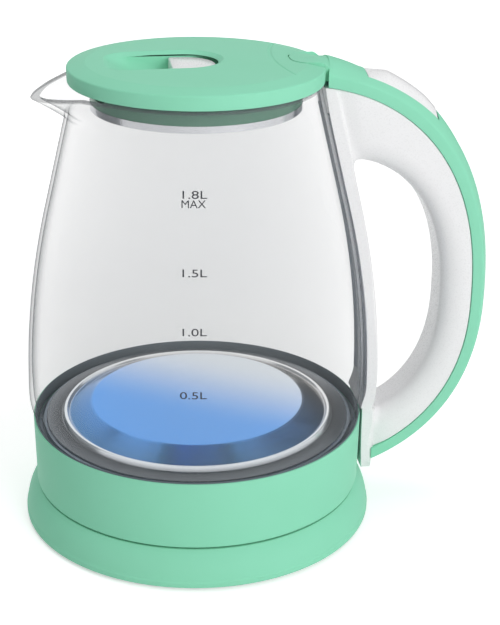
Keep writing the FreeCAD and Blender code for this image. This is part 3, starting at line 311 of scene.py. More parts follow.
# Zinc-plated steel, barrel plated: a cool pale grey with blurred highlights.
zinc = metal("zinc_plated_steel", ("#B9BCC2", "#CDD0D4"), (0.28, 0.4), 1.0, 0.006)
finished(black, "stand_bottom_plate", "stand_connector")
finished(rubber, "stand_feet")
finished(brass, "stand_pin_socket", "stand_ring_contact")
finished(zinc, "stand_screws")

# Jug underside: a black nylon cover screwed into the ring from below, with the jug's half of the
# power plug in its middle, a brass pin inside a brass sleeve. The thermostat stands on the plug and
# holds two brass discs against the heater.
finished(black, "underside_cover", "jug_connector", "thermostat_control")
finished(brass, "jug_connector_pin", "jug_connector_sleeve", "overheat_discs")
finished(zinc, "underside_screws")

# Jug ring: the collar that holds the glass by its foot, moulded in mint ABS, with a ledge inside for the
# heater floor. A dark grey bead between its top edge and the glass is painted shadow, standing in for
# the shade in the gap there.
ring_bottom = 18.6
ring_top = 50.0
ring_radius = 76.9
ring_draft = 0.5
ring_wall = 2.5
glass_seat = 75.35
ledge_hole = 63.0
ledge_top = 42.0
ledge_wall = 2.5
ring = turned("jug_ring", [
    (ring_radius - ring_draft, ring_bottom, 0.5),
    (ring_radius, ring_top, 0.35),
    (glass_seat, ring_top, 0.35),
    (glass_seat, ledge_top, 0.2),
    (ledge_hole, ledge_top, 0.2),
    (ledge_hole, ledge_top - ledge_wall, 0.2),
    (ring_radius - ring_draft - ring_wall, ledge_top - ledge_wall, 0.2),
    (ring_radius - ring_draft - ring_wall, ring_bottom, 0.3),
])
fitted(ring, mint, "jug", "mint_plastic", "base_ring")
# Painted shadow: a thin dark grey bead along the ring's top, put where the gap between ring and glass
# lies in shade.
painted_gap_shadow = moulded("painted_gap_shadow_grey", ("#586369", "#606C73"), (0.5, 0.65), 0.6, 0.01)
glass_foot = 75.2
bead_inside = glass_foot + 0.04
bead_outside = glass_seat - 0.02
bead_foot = 44.5
painted_shadow_bead = turned("painted_gap_shadow_bead", [
    (bead_inside, bead_foot, 0),
    (bead_outside, bead_foot, 0),
    (bead_outside, ring_top - 0.1, 0),
    (ring_radius - 0.6, ring_top - 0.1, 0.1),
    (ring_radius - 0.7, ring_top + 0.3, 0.2),
    (ring_radius - 1.15, ring_top + 0.6, 0.1),
    (bead_inside, ring_top - 0.6, 0),
])
dressed(painted_shadow_bead, painted_gap_shadow)
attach(painted_shadow_bead, "jug")

# Heater floor: a pressed stainless pan with a raised plateau inside a rolled bead, sealed to the glass
# by a silicone ring. The element and its aluminium spreader are brazed under it, and lamps in the ring's
# ledge light the plateau blue through the seal; that blue light is painted onto the pan.
plateau_height = 55.0
plateau_radius = 49.5
trough_height = 49.4
bead_height = 50.9
pan_radius = 70.8
pan_sheet = 1.2
pan_top = np.array([
    (0, plateau_height, 0),
    (20, plateau_height, 0),
    (plateau_radius, plateau_height, 0.8),
    (60.4, trough_height, 0.8),
    (61.3, bead_height, 0.5),
    (62.5, bead_height, 0.5),
    (63.6, 48.9, 0.6),
    (pan_radius, 48.5, 0.3),
])
pan_under = pan_top[::-1] - (0, pan_sheet, 0)
pan = turned("heater_pan", np.concatenate([pan_top, pan_under]), ring=False)

# Stainless steel, pressed and polished, with its light painted on: painted blue lamp light that fades to
# silver across the plateau, a painted highlight line along the bead, painted dark reflections on the
# slope and the flange, and a faint painted glow in the same colours.
steel_with_painted_light = metal("stainless_steel_painted_blue_light", None, (0.16, 0.2), 4.0, 0.0001)
tree = steel_with_painted_light.node_tree
shader = tree.nodes["Principled BSDF"]
place = add(tree, "TexCoord").outputs["Object"]
flat = add(tree, "VectorMath", {0: place, 1: (1.0, 1.0, 0.0)}, operation="MULTIPLY")
radius = add(tree, "VectorMath", {0: flat.outputs["Vector"]}, operation="LENGTH")
ramp_reach = 80.0
share = add(tree, "MapRange", {"Value": radius.outputs["Value"], "From Max": ramp_reach / 1000})
# Radii out from the middle: plateau, slope twice, bead twice, flange twice
ramp_radii = (49.2, 50.8, 59.6, 61.2, 62.64, 64.0, 72.0)
painted_lamp_light_shades = ("#6AB0FF", "#5E98DA", "#5A8ABC", "#F2F7FC", "#F2F7FC", "#484B4F", "#7A7F84")
painted_unlit_shades = ("#EDF3F9", "#74706C", "#5E5854", "#FCFCFC", "#FCFCFC", "#5A5A5B", "#90949A")
sides = []
for shades in (painted_unlit_shades, painted_lamp_light_shades):
    ramp = add(tree, "ValToRGB", {"Fac": share.outputs["Result"]})
    stops = ramp.color_ramp.elements
    for at in ramp_radii[1:-1]:
        stops.new(at / ramp_reach)
    for stop, at, shade in zip(stops, ramp_radii, shades):
        stop.position = at / ramp_reach
        stop.color = linear(shade)
    sides.append(ramp.outputs["Color"])
# Painted lamp light: it falls on the plateau from the front left and fades out over 65 mm, given in
# metres
painted_light_side = (-0.55, -0.83, 0.0)
aim = add(tree, "VectorMath", {0: place, 1: painted_light_side}, operation="DOT_PRODUCT")
painted_light_share = add(tree, "MapRange", {"Value": aim.outputs["Value"], "From Min": -0.045, "From Max": 0.02},
          interpolation_type="SMOOTHSTEP")
painted_blue_wash = add(tree, "Mix", {0: painted_light_share.outputs["Result"], 6: sides[0], 7: sides[1]}, data_type="RGBA")
tree.links.new(painted_blue_wash.outputs[2], shader.inputs["Base Color"])
# The painted colours also glow faintly, though the pan is no lamp
tree.links.new(painted_blue_wash.outputs[2], shader.inputs["Emission Color"])
shader.inputs["Emission Strength"].default_value = 0.08
fitted(pan, steel_with_painted_light, "jug", "steel", "heater_plate")

# Clear silicone, cured milky: a pale bluish grey that lets a little light through.
clear_silicone = moulded("milky_silicone", ("#A3B2C1", "#ADBBC9"), (0.25, 0.35), 0.6, 0.01,
                         Transmission_Weight=0.2, IOR=1.41)
finished(clear_silicone, "floor_seal")
# Aluminium, cast and left as it is: a pale matt grey with dull reflections.
aluminium = metal("cast_aluminium", ("#B8BABD", "#C6C8CA"), (0.4, 0.55), 3.0, 0.02)
finished(aluminium, "heat_spreader", "heating_element")
# Epoxy lamp resin, cast round the lamp: a glossy, glowing blue.
resin = moulded("blue_lamp_resin", ("#6FA8F5", "#86B8F8"), (0.1, 0.16), 2.0, 0.005,
                Transmission_Weight=0.6, Emission_Color=linear("#4F8FF0"), Emission_Strength=0.8)
finished(resin, "led_lamps")

# Glass jug: blown borosilicate with a thin wall, a bulge over the ring, a straight neck and a
# pulled beak spout. Its rim is fire-polished round, and its foot stands in the ring's sealant.
jug_foot = 45.5
jug_rim = 207.2
foot_wall = 2.3
body_wall = 1.5
wall_thins = (55, 75)
lip_rise = 1.5
bulge = 3.2
bulge_start = 49.5
bulge_top = 62.0
belly_curve = 370.0
neck_start = 150.0
neck_radius = 67.78
neck_taper = 0.2427
spout_width = math.radians(50)
spout_reach = 17.0
spout_root = 54.5
spout_start = 193.2
spout_lag = 1.2
spout_growth = 8.2
rim_fall = 4.6
fall_start = 50.9
fall_end = 71.2


def jug_radius(z):
    """The jug's outer radius at height z: upright in the ring, a quarter sine out to the bulge, a
    circle arc up to the neck, and a straight taper to the rim."""
    swing = np.clip((z - bulge_start) / (bulge_top - bulge_start), 0, 1)
    low = glass_foot + bulge * np.sin(np.pi / 2 * swing)
    above = np.clip(z - bulge_top, 0, neck_start - bulge_top)
    belly = glass_foot + bulge - belly_curve + np.sqrt(belly_curve ** 2 - above ** 2)
    neck = neck_radius - neck_taper * np.clip(z - neck_start, 0, None)
    return np.where(z < bulge_top, low, np.where(z < neck_start, belly, neck))


def spout_share(t):
    """How much of the spout's swell has grown: a straight ramp from 0 to 1, eased in by a parabola."""
    t = np.clip(t, 0, 1)
    return np.where(t < 0.2, 2.5 * t ** 2, t - 0.1) / 0.9


def jug_points(angles, steps=80):
    """The jug's wall as a closed loop of heights, up the outside, over the rim and down the inside,
    for each angle. Towards -X the neck swells by reach (1 - |a| / width)^1.4, a little blunted at the
    nose, which grows over the spout's height and starts a little higher on the inside, and the rim
    falls evenly towards the tip. The upper 38 hundredths of the height take half of the rows."""
    blunt = 0.03
    off = np.abs(angles - np.pi)
    nose = np.sqrt(off ** 2 + blunt ** 2) - blunt
    swell = spout_reach * np.clip(1 - nose / spout_width, 0, 1)[:, None] ** 1.4
    tip = -(spout_root + swell) * np.cos(angles)[:, None]
    top = jug_rim - lip_rise - rim_fall * np.clip((tip - fall_start) / (fall_end - fall_start), 0, 1)
    t = np.linspace(0, 1, steps)
    t = np.concatenate([0.62 * t[:-1], 0.62 + 0.38 * t])
    z = jug_foot + (top - jug_foot) * t
    outer = jug_radius(z) + swell * spout_share((z - spout_start) / spout_growth)
    wall = np.interp(z, wall_thins, (foot_wall, body_wall))
    inner = jug_radius(z) - wall + swell * spout_share((z - spout_start - spout_lag) / spout_growth)
    turn = np.linspace(0, np.pi, 9)[None, 1:-1]
    lip = (outer[:, -1:] + inner[:, -1:] + (outer[:, -1:] - inner[:, -1:]) * np.cos(turn)) / 2
    foot = (outer[:, :1] + inner[:, :1] - (outer[:, :1] - inner[:, :1]) * np.cos(turn)) / 2
    r = np.concatenate([outer, lip, inner[:, ::-1], foot], 1)
    z = np.concatenate([z, top + lip_rise * np.sin(turn), z[:, ::-1],
                        jug_foot - lip_rise * np.sin(turn) + 0 * foot], 1)
    return np.stack([r * np.cos(angles)[:, None], r * np.sin(angles)[:, None], z], -1)


# The angles crowd together towards the spout
round_turn = np.linspace(0, 2 * np.pi, 256, endpoint=False)
jug = surface("glass_wall", jug_points(round_turn + 0.25 * np.sin(round_turn)), crease=60)

# Borosilicate glass, blown and fire-polished: a thin clear wall with a faint grey veil, a little denser
# where the wall faces the eye, and painted shade that closes it to a grey line wherever the wall is seen
# edge on.
glass, tree, shader, place = started("clear_borosilicate_glass")
shader.inputs["Specular IOR Level"].default_value = 0.0
shader.inputs["Roughness"].default_value = 0.05
draw_mm = 60
draw = add(tree, "TexNoise", {"Vector": place, "Scale": 1000 / draw_mm, "Detail": 1.0})
tone = add(tree, "Mix", {0: draw.outputs["Fac"], 6: linear("#8A9094"), 7: linear("#969CA0")},
           data_type="RGBA")
slant = add(tree, "LayerWeight", {"Blend": 0.5}).outputs["Facing"]
steep = add(tree, "Math", {0: slant, 1: 6.0}, operation="POWER").outputs[0]
# Painted shade: the colour darkens to a dark grey where the wall is seen edge on
painted_edge_shade = add(tree, "Mix", {0: steep, 6: tone.outputs[2], 7: linear("#585E64")}, data_type="RGBA")
edge = add(tree, "MapRange", {"Value": steep, "To Max": 0.7})
faint = add(tree, "MapRange", {"Value": slant, "From Max": 0.6, "To Min": 0.14, "To Max": 0.07})
veil = add(tree, "Math", {0: edge.outputs["Result"], 1: faint.outputs["Result"]}, operation="MAXIMUM")
# Painted shade on the polished rim: the top 2 mm, which fall with the spout, darken to a grey line
axes = add(tree, "SeparateXYZ", {"Vector": place})
sunk = add(tree, "MapRange", {"Value": axes.outputs["X"], "From Min": -fall_start / 1000,
                              "From Max": -fall_end / 1000, "To Max": rim_fall / 1000})
evened = add(tree, "Math", {0: axes.outputs["Z"], 1: sunk.outputs["Result"]}, operation="ADD")
rim = add(tree, "MapRange", {"Value": evened.outputs[0], "From Min": (jug_rim - 2.0) / 1000,
                             "From Max": (jug_rim - 1.4) / 1000, "To Max": 0.5})
shown = add(tree, "Math", {0: veil.outputs[0], 1: rim.outputs["Result"]}, operation="MAXIMUM")
tree.links.new(shown.outputs[0], shader.inputs["Alpha"])
painted_rim_and_edge_shade = add(tree, "Mix", {0: rim.outputs["Result"], 6: painted_edge_shade.outputs[2], 7: linear("#2E3337")},
             data_type="RGBA")
tree.links.new(painted_rim_and_edge_shade.outputs[2], shader.inputs["Base Color"])
fitted(jug, glass, "jug", "clear_glass", "glass_jug")

# Handle shell: the white ABS D handle and the strip that lies along the glass, one moulding with a
# finger hole whose edge is rounded off on the grip side. Two screws hold its foot to the ring, a
# gasket lies between strip and glass, and the leads to the steam switch run inside.

# White ABS, moulded in a polished tool: a clean bright white with a clear, even gloss.
white = moulded("white_abs_gloss", ("#EBEBEC", "#EFEFF0"), (0.24, 0.32), 0.6, 0.001, IOR=1.5)
# Each oval: its root and reach in X, its top, waist and foot in Z, and its power
shell_oval = (35.0, 126.0, 207.1, 106.1, 21.4, 2.32)
hole_oval = (60.0, 112.6, 172.7, 104.4, 43.6, 2.33)
shell_half = 14.2
shell_edge = 0.6
shell_foot = 19.6
shell_start = 55.6
strip_off = 1.0
strip_back = 5.3
strip_top = 205.4
hole_edge = 1.5
grip_bell_in = 12.0
grip_bell_across = 7.5
valley_depth = 1.0
valley_reach = 5.0
grip_count = 300
strip_count = 160
hole_ease = 7
grip_ease = 9


def oval(turn, shape, height=0.0, swell=(0.0, 0.0, 0.0)):
    """A half superellipse in the handle's plane, from its top (turn -90 deg) round to its foot (+90):
    x = root + across cos^(2/p), z = waist + rise sin^(2/p). A swell moves its back, top and foot
    out, and a height moves every point along the normal."""
    root, reach, top, waist, foot, power = shape
    c = np.abs(np.cos(turn))
    s = np.abs(np.sin(turn))
    way = np.where(turn < 0, 1, -1)
    across = reach + swell[0] - root
    rise = np.where(turn < 0, top + swell[1] - waist, waist - foot + swell[2])
    normal = np.stack([c ** (2 - 2 / power) / across, way * s ** (2 - 2 / power) / rise], -1)
    normal /= np.linalg.norm(normal, axis=-1, keepdims=True)
    spot = np.stack([root + across * c ** (2 / power), waist + way * rise * s ** (2 / power)], -1)
    return spot + normal * np.asarray(height)[..., None]


def even(line, count):
    """The same line with points at even steps of its length."""
    run = np.concatenate([[0], np.cumsum(np.linalg.norm(np.diff(line, axis=0), axis=1))])
    at = np.linspace(0, run[-1], count)
    return np.stack([np.interp(at, run, line[:, 0]), np.interp(at, run, line[:, 1])], -1)


def eased(loop, width):
    """A closed loop with its corners eased: each point becomes the mean of its neighbours, weighted
    by a bell curve of the given width in points."""
    count = len(loop)
    wave = np.fft.fftfreq(count) * count
    weight = np.exp(-0.5 * (2 * np.pi * wave * width / count) ** 2)[:, None]
    return np.real(np.fft.ifft(np.fft.fft(loop, axis=0) * weight, axis=0))


def strip_x(z, stand_off):
    """How far out the strip lies at a height: off the glass, or off the ring up to just over its top."""
    return np.maximum(jug_radius(z), np.where(z < ring_top + 1.0, ring_radius, 0)) + stand_off


# Two loops in the handle's plane have like points: the outline, down its back and up the strip's
# front, and the finger hole, down the grip and up the strip's back. A section is set across the line
# from each point of the hole to its partner on the outline.
turn = np.linspace(-np.pi / 2, np.pi / 2, 2000)
back = oval(turn, shell_oval)
tail_x = strip_x(np.array(shell_foot), strip_back)
upper = back[:, 1] > shell_oval[3]
back = back[(back[:, 0] > shell_start) & (upper | (back[:, 0] > tail_x))]
z = np.linspace(shell_foot, strip_top, 200)
front = np.stack([strip_x(z, strip_off), z], -1)
back = np.concatenate([back, [[tail_x, shell_foot]]])
outline = np.concatenate([even(back, grip_count), even(front, strip_count)])
hole = oval(turn, hole_oval)
hole = hole[hole[:, 0] > strip_x(hole[:, 1], strip_back)]
z = np.linspace(hole[-1, 1], hole[0, 1], 200)
hole_front = np.stack([strip_x(z, strip_back), z], -1)
inside = eased(np.concatenate([even(hole, grip_count), even(hole_front, strip_count)]), hole_ease)
on_grip = eased(np.concatenate([np.ones(grip_count), np.zeros(strip_count)])[:, None], grip_ease)
on_grip = np.clip(on_grip, 0, 1)
gap = outline - inside
depth = np.linalg.norm(gap, axis=1, keepdims=True)
bell_in = np.minimum(hole_edge + (grip_bell_in - hole_edge) * on_grip, depth * 0.8)
bell_across = hole_edge + (grip_bell_across - hole_edge) * on_grip
quarter = np.linspace(0, np.pi / 2, 11)[None]
rise = 1 - np.sin(quarter)
fall = 1 - np.cos(quarter)
level = bell_in + (depth - shell_edge - bell_in) * np.linspace(0, 1, 24)[None, 1:-1]
# Round the section: the hole's belled edge from -Y to +Y, one side, the back edge, the other side
inwards = np.concatenate([
    bell_in * rise,
    bell_in * rise[:, ::-1],
    level,
    depth - shell_edge * rise,
    depth - shell_edge * rise[:, ::-1],
    level[:, ::-1],
], 1)
upright = np.full(level.shape, shell_half)
corner = shell_half - shell_edge * fall + 0 * depth
across = np.concatenate([
    bell_across * fall - shell_half,
    shell_half - bell_across * fall[:, ::-1],
    upright,
    corner,
    -corner[:, ::-1],
    -upright,
], 1)
spot = inside[:, None] + (gap / depth)[:, None] * inwards[..., None]
# Next to the strip the grip's sides fall back a little and come up again
beside = spot[..., 0] - strip_x(spot[..., 1], strip_back)
valley = valley_depth * np.clip(beside / 0.8, 0, 1) * np.exp(-(beside / valley_reach) ** 2)
across = across * (1 - valley / shell_half)
# The strip's front follows the round glass: its sides come forward by x - sqrt(x^2 - y^2)
hug = (1 - on_grip) * inwards / depth
forward = outline[:, :1] - np.sqrt(outline[:, :1] ** 2 - across ** 2)
shell_grid = np.stack([spot[..., 0] - hug * forward, across, spot[..., 1]], -1)
shell = surface("handle_white_shell", shell_grid, crease=40)
fitted(shell, white, "jug", "white_plastic", "handle_shell")
# Silicone rubber, moulded: a soft matt grey gasket, its grey also standing in for the shade along the
# strip's edge, where it shows as a line through the glass.
gasket_grey_edge_shade = moulded("grey_silicone", ("#B2B5B9", "#BCBFC3"), (0.45, 0.6), 0.6, 0.01)
finished(gasket_grey_edge_shade, "handle_gasket")
finished(zinc, "handle_screws")
finished(black, "handle_leads")

# Handle cover: the crowned back of the handle, moulded in mint ABS and clipped over the shell.
# It ends short of the lid and of the white strip, and has a window for the switch on top.
cover_half = 14.7
cover_side = 5.2
cover_crown = (4.0, 5.2, 0.8)
cover_turns = (-83, 71)
cover_grow = ((-79, -71, -60, -47, -36), (1.1, 0.78, 0.9, 1.15, 1.0))
cover_start = 57.5
cover_foot = 81.9
window_start = 74.0
window_end = 107.2
window_half = 9.2


def capped(rows):
    """Rows of a swept piece with both ends closed: each end row is repeated as its own mean point."""
    first = np.broadcast_to(rows[:1].mean(1, keepdims=True), rows[:1].shape)
    last = np.broadcast_to(rows[-1:].mean(1, keepdims=True), rows[-1:].shape)
    return np.concatenate([first, rows, last])


def crowned(half, foot, side, fillet, nominal=4.0):
    """A crowned section as y, height and share of the crown: flat foot, upright sides, and eased
    shoulders under a parabola, 1 - (y / half)^2."""
    t = np.linspace(0.92, -0.92, 23)
    top = np.stack([half * t, side + nominal * (1 - t * t), 0 * t], -1)
    corners = [(-half, foot, 0.3), (half, foot, 0.3), (half, side, fillet), *top, (-half, side, fillet)]
    y, height = rounded(corners).T
    return y, np.minimum(height, side), np.clip(height - side, 0, None) / nominal


def swept(name, turns, count, section, crown, grow, crease=32):
    """A section carried round the handle between two turns in degrees, at even steps: its height lies
    along the oval's normal and its crown swells the oval at the back, top and foot; grow pairs turns
    with the share of the crown there."""
    fine = np.linspace(*turns, 2000)
    line = oval(np.radians(fine), shell_oval)
    run = np.concatenate([[0], np.cumsum(np.linalg.norm(np.diff(line, axis=0), axis=1))])
    part = np.linspace(0, 1, count)[:, None]
    turn = np.radians(np.interp(part * run[-1], run, fine))
    y, height, share = section
    share = share * np.interp(np.degrees(turn), *grow)
    spot = oval(turn + 0 * share, shell_oval, height + 0 * share, [share * c for c in crown])
    rows = np.stack([spot[..., 0], y + 0 * share, spot[..., 1]], -1)
    return surface(name, capped(rows), (False, True), crease)


cover = swept("handle_mint_cover", cover_turns, 280, crowned(cover_half, 0.1, cover_side, 1.6),
              cover_crown, cover_grow)
lid_side = turned("lid_side", [(0, 190, 0), (cover_start, 190, 0), (cover_start, 230, 0), (0, 230, 0)],
                  ring=False)
carved(cover, lid_side,
       slab("strip_side", (50, -20, 5), (cover_foot, 20, 60)),
       slab("switch_window", (window_start, -window_half, 150), (window_end, window_half, 230)))
cover.data.set_sharp_from_angle(angle=math.radians(32))
fitted(cover, mint, "jug", "mint_plastic", "handle_cover")

# Hinge tongue: the round nose in which the handle cover ends, of the same mint ABS. It reaches into
# the lid and holds the plated steel pin that the lid swings on.
lid_hinge = next(joint for joint in frame["joints"] if joint["name"] == "lid_hinge")
hinge_x, _, hinge_z = [1000 * length for length in lid_hinge["pos_m"]]
tongue_half = 11.0
tongue_radius = 12.5
tongue_round = 9.0
tongue_low = 207.7
tongue_top = 216.1
tongue_back = 57.8
tongue_drop = 2.8


def tongue_points(clear, low, high, back, drop=0.0):
    """The tongue about the hinge pin: a drum with rounded ends, cut flat at a top and a bottom height
    and carried back square; clear widens it on all sides, and towards its back the top falls by
    drop (y / half)^2 to meet the crowned cover."""
    half = tongue_half + clear
    bend = tongue_round + clear
    y = np.linspace(-1, 1, 45)[:, None] * half
    shoulder = np.clip(np.abs(y) - (tongue_half - tongue_round), 0, bend)
    r = tongue_radius - tongue_round + np.sqrt(bend ** 2 - shoulder ** 2)
    first = np.arcsin(np.clip((low - hinge_z) / r, -1, 1))
    last = np.arcsin(np.clip((high - hinge_z) / r, -1, 1))
    a = first + (last - first) * np.linspace(0, 1, 24)[None]
    nose = hinge_x - r * np.cos(a)
    t = np.linspace(0, 1, 13)[None, 1:]
    over = nose[:, -1:] + (back - nose[:, -1:]) * t
    top = high - drop * (y / half) ** 2 * t * t * (3 - 2 * t)
    x = np.concatenate([nose, over, back + 0 * y], 1)
    z = np.concatenate([hinge_z + r * np.sin(a), top, low + 0 * y], 1)
    return capped(np.stack([x, y + 0 * x, z], -1))


tongue_grid = tongue_points(0.0, tongue_low, tongue_top, tongue_back, tongue_drop)
tongue = surface("hinge_tongue", tongue_grid, (False, True))
fitted(tongue, mint, "jug", "mint_plastic", "handle_cover")
finished(zinc, "hinge_pin")

# Switch: a white ABS rocker set in the cover's window, domed across and raised in a ridge at its
# front. It tips on a plated pin over the steam switch, whose brass disc trips it.
rocker_half = 8.8
rocker_foot = 2.2
rocker_side = 7.6
rocker_crown = (4.4, 4.4, 4.4)
rocker_turns = (-75, -39)
rocker_grow = ((-72, -71, -64.5, -63.5, -52, -47), (0.15, 0.15, 1.0, 1.0, 0.95, 0.75))
rocker_gap = 0.4
rocker = swept("switch_paddle", rocker_turns, 160, crowned(rocker_half, rocker_foot, rocker_side, 1.0),
               rocker_crown, rocker_grow, 40)
carved(rocker, slab("front_gap", (60, -20, 150), (window_start + rocker_gap, 20, 230)),
       slab("rear_gap", (window_end - rocker_gap, -20, 130), (130, 20, 230)))
rocker.data.set_sharp_from_angle(angle=math.radians(40))
fitted(rocker, white, "switch", "white_plastic", "switch_rocker")
finished(zinc, "switch_pin")
finished(black, "steam_switch")
finished(brass, "steam_disc")

# Lid cover: a shallow dome in mint ABS with a faint crease, screwed to the band under it. It has a
# finger recess with a bevelled mouth, a soft groove across the back, and a cut that clears the
# hinge tongue.
dome_radii = (0, 24, 48, 56)
dome_heights = (216.8, 216.4, 215.7, 214.0)
lid_foot = 207.7
lid_bore = 53.5
lid = turned("lid_mint_cover", [
    (0, dome_heights[0], 0),
    (dome_radii[1], dome_heights[1], 0),
    (dome_radii[2], dome_heights[2], 0.5),
    (dome_radii[3] + 0.1, dome_heights[3], 0.9),
    (dome_radii[3] - 0.1, lid_foot, 0.4),
    (lid_bore, lid_foot, 0.3),
    (lid_bore, 211.4, 0.5),
    (dome_radii[2], 213.4, 0),
    (dome_radii[1], 214.9, 0),
    (0, 215.2, 0),
], ring=False)
recess_front = -37.6
recess_half = 15.0
recess_corner = 9.0
mouth_back = 9.4
hinge_clearance = 0.4
hinge_room_low = 200.0
hinge_room_high = 219.0
hinge_room_back = 62.0
mouth_floor = 205.0
over_lid = 221.0
groove_place = 33.0
groove_bow = 175.0
groove_round = 1.6
groove_depth = 0.3


def slot_line(out, back):
    """The recess outline seen from above, moved out by a distance: eased front corners, round back."""
    front = recess_front - out
    half = recess_half + out
    end = half - 0.01
    return rounded([(front, -half, recess_corner + out), (back + out, -half, end),
                    (back + out, half, end), (front, half, recess_corner + out)], 24)


def stacked(name, levels, crease=32):
    """A piece built of outlines laid one over the other: each level is (outline, height), and the
    height may change along the outline."""
    rows = np.stack([np.concatenate([o, np.ones((len(o), 1)) * z], 1) for o, z in levels])
    return surface(name, capped(rows), (False, True), crease)


def lid_top(outline, lift):
    """The lid's height under an outline seen from above, with a lift."""
    r = np.linalg.norm(outline, axis=1, keepdims=True)
    return np.interp(r, dome_radii, dome_heights) + lift


def groove_points(radius, depth):
    """The groove's cutter: a round bar above the lid, laid along x = place + y^2 / bow, that dips into
    its top by the depth."""
    y = np.linspace(-30, 30, 61)
    line = np.stack([groove_place + y ** 2 / groove_bow, y], -1)
    across = np.linspace(0, 2 * np.pi, 32, endpoint=False)[None]
    x = line[:, :1] + radius * np.cos(across)
    z = lid_top(line, radius - depth) + radius * np.sin(across)
    return capped(np.stack([x, y[:, None] + 0 * x, z], -1))


# The mouth's bevel as steps out from the recess and heights over the lid's top
mouth_bevel = ((0, -1.7), (0.3, -1.4), (1.2, -0.8), (2.2, -0.1), (2.9, 0.25))
mouth_levels = [(slot_line(0, mouth_back), mouth_floor)]
for out, lift in mouth_bevel:
    line = slot_line(out, mouth_back)
    mouth_levels.append((line, lid_top(line, lift)))
mouth_levels.append((line, over_lid))
mouth = stacked("recess_mouth", mouth_levels)
hinge_grid = tongue_points(hinge_clearance, hinge_room_low, hinge_room_high, hinge_room_back)
hinge_room = surface("hinge_room", hinge_grid, (False, True))
back_groove = surface("back_groove", groove_points(groove_round, groove_depth), (False, True))
carved(lid, mouth, hinge_room, back_groove)
lid.data.set_sharp_from_angle(angle=math.radians(20))
fitted(lid, mint, "lid", "mint_plastic", "lid_cover")
finished(zinc, "lid_screws")

# Finger tray: the scooped floor of the recess, moulded with the lid in mint ABS. It runs on under
# the lid's top behind the mouth, where the release slides back.
tray_back = 17.8
tray_wall = 1.5
tray_rim = 214.4
tray_bottom = 203.6
tray_middle = np.array([-20.0, 0.0])
tray_deep = 9.1
tray_shallow = 3.0
scoop_start = -13.0
scoop_length = 24.6
tray_inside = slot_line(0, tray_back)
tray_outside = slot_line(tray_wall, tray_back)


def tray_ring(share):
    """One ring of the tray's bowl: the outline drawn in to a share s, at z = rim - depth (1 - s^e).
    From the slider to the front the depth eases from deep to shallow, and the power e from 60, an
    upright wall, to 4, a soft scoop."""
    ring = tray_middle + (tray_inside - tray_middle) * share
    t = np.clip((scoop_start - ring[:, :1]) / scoop_length, 0, 1)
    scoop = t * t * (3 - 2 * t)
    depth = tray_deep - (tray_deep - tray_shallow) * scoop
    return ring, tray_rim - depth * (1 - share ** (60 * (4 / 60) ** scoop))


shares = 1 - np.linspace(0, 1, 30)[:-1] ** 2.5
tray = stacked("lid_tray", [
    (tray_outside, tray_bottom),
    (tray_outside, tray_rim - 0.2),
    *[tray_ring(share) for share in shares],
])
fitted(tray, mint, "lid", "mint_plastic", "lid_cover")

# Lid release: a white ABS slider in the recess, square in front and round behind, with eased edges.
# A finger pulls it back, and the black nylon fork under it goes with it.
slide_front = -11.0
slide_back = 8.5
slide_half = 14.0
slide_bottom = 206.2
slide_side = 213.4
slide_round = slide_half - 0.01
slide = rounded([(slide_front, -slide_half, 1.0), (slide_back, -slide_half, slide_round),
                 (slide_back, slide_half, slide_round), (slide_front, slide_half, 1.0)], 24)
slide_middle = np.array([(slide_front + slide_back) / 2, 0.0])
# The eased top edge as shares of the outline and heights over the upright side
slide_top = ((0.985, 0.5), (0.95, 0.8), (0.5, 0.9))
slider = stacked("release_slider", [
    (slide, slide_bottom),
    (slide, slide_side),
    *[(slide_middle + (slide - slide_middle) * share, slide_side + lift) for share, lift in slide_top],
], 60)
fitted(slider, white, "latch", "white_plastic", "latch_slider")
finished(black, "latch_fork")

# Lid insert: the dark band that plugs the neck, moulded in ABS and screwed to the lid, with a
# pressed steel pan that closes it below and a nylon sieve in its window towards the spout.


def smoothed(name, node, crease=32):
    """A copy of a CAD node's mesh with its loose triangles merged and its flat facets shaded smooth."""
    mesh = frame["nodes"][node].data.copy()
    made = bmesh.new()
    made.from_mesh(mesh)
    bmesh.ops.remove_doubles(made, verts=made.verts, dist=2e-6)
    made.to_mesh(mesh)
    made.free()
    mesh.name = name
    if "custom_normal" in mesh.attributes:
        mesh.attributes.remove(mesh.attributes["custom_normal"])
    mesh.shade_smooth()
    mesh.set_sharp_from_angle(angle=math.radians(crease))
    return placed(name, mesh)


# Dark mint ABS, moulded in a fine satin tool: a deep grey green with a close, narrow sheen.
dark_mint = moulded("dark_mint_abs", ("#548A70", "#5F957B"), (0.25, 0.35), 0.9, 0.004)
fitted(smoothed("lid_band", "lid_insert"), dark_mint, "lid", "dark_mint_plastic", "lid_insert")
# Stainless steel, pressed and polished: a bright grey that mirrors the white surround.
bright_steel = metal("polished_stainless_steel", ("#C6C7CA", "#D4D5D8"), (0.12, 0.2), 4.0, 0.002)
fitted(smoothed("lid_pan", "lid_underplate"), bright_steel, "lid", "steel", "lid_underplate")
finished(black, "pour_filter")

# Return spring: a coil of zinc-plated steel wire between the fork and the lid. It closes up when the
# release is pulled and pushes it forward again.
spring_low, spring_high = [np.array(corner) * 1000 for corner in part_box("latch_spring")]
wire = 0.35
coils = 9


def coil_points(low, high):
    """A round wire carried along a helix about an axis in X: x runs evenly from end to end, y and z go
    round the axis, and the wire's own circle lies in the plane through that axis."""
    middle = (low + high) / 2
    turn = np.linspace(0, 2 * np.pi * coils, coils * 24)[:, None]
    across = np.linspace(0, 2 * np.pi, 8, endpoint=False)[None]
    x = low[0] + wire + (high[0] - low[0] - 2 * wire) * turn / turn[-1] + wire * np.sin(across)
    r = (high[1] - low[1]) / 2 - wire + wire * np.cos(across)
    return capped(np.stack([x, middle[1] + r * np.cos(turn), middle[2] + r * np.sin(turn)], -1))


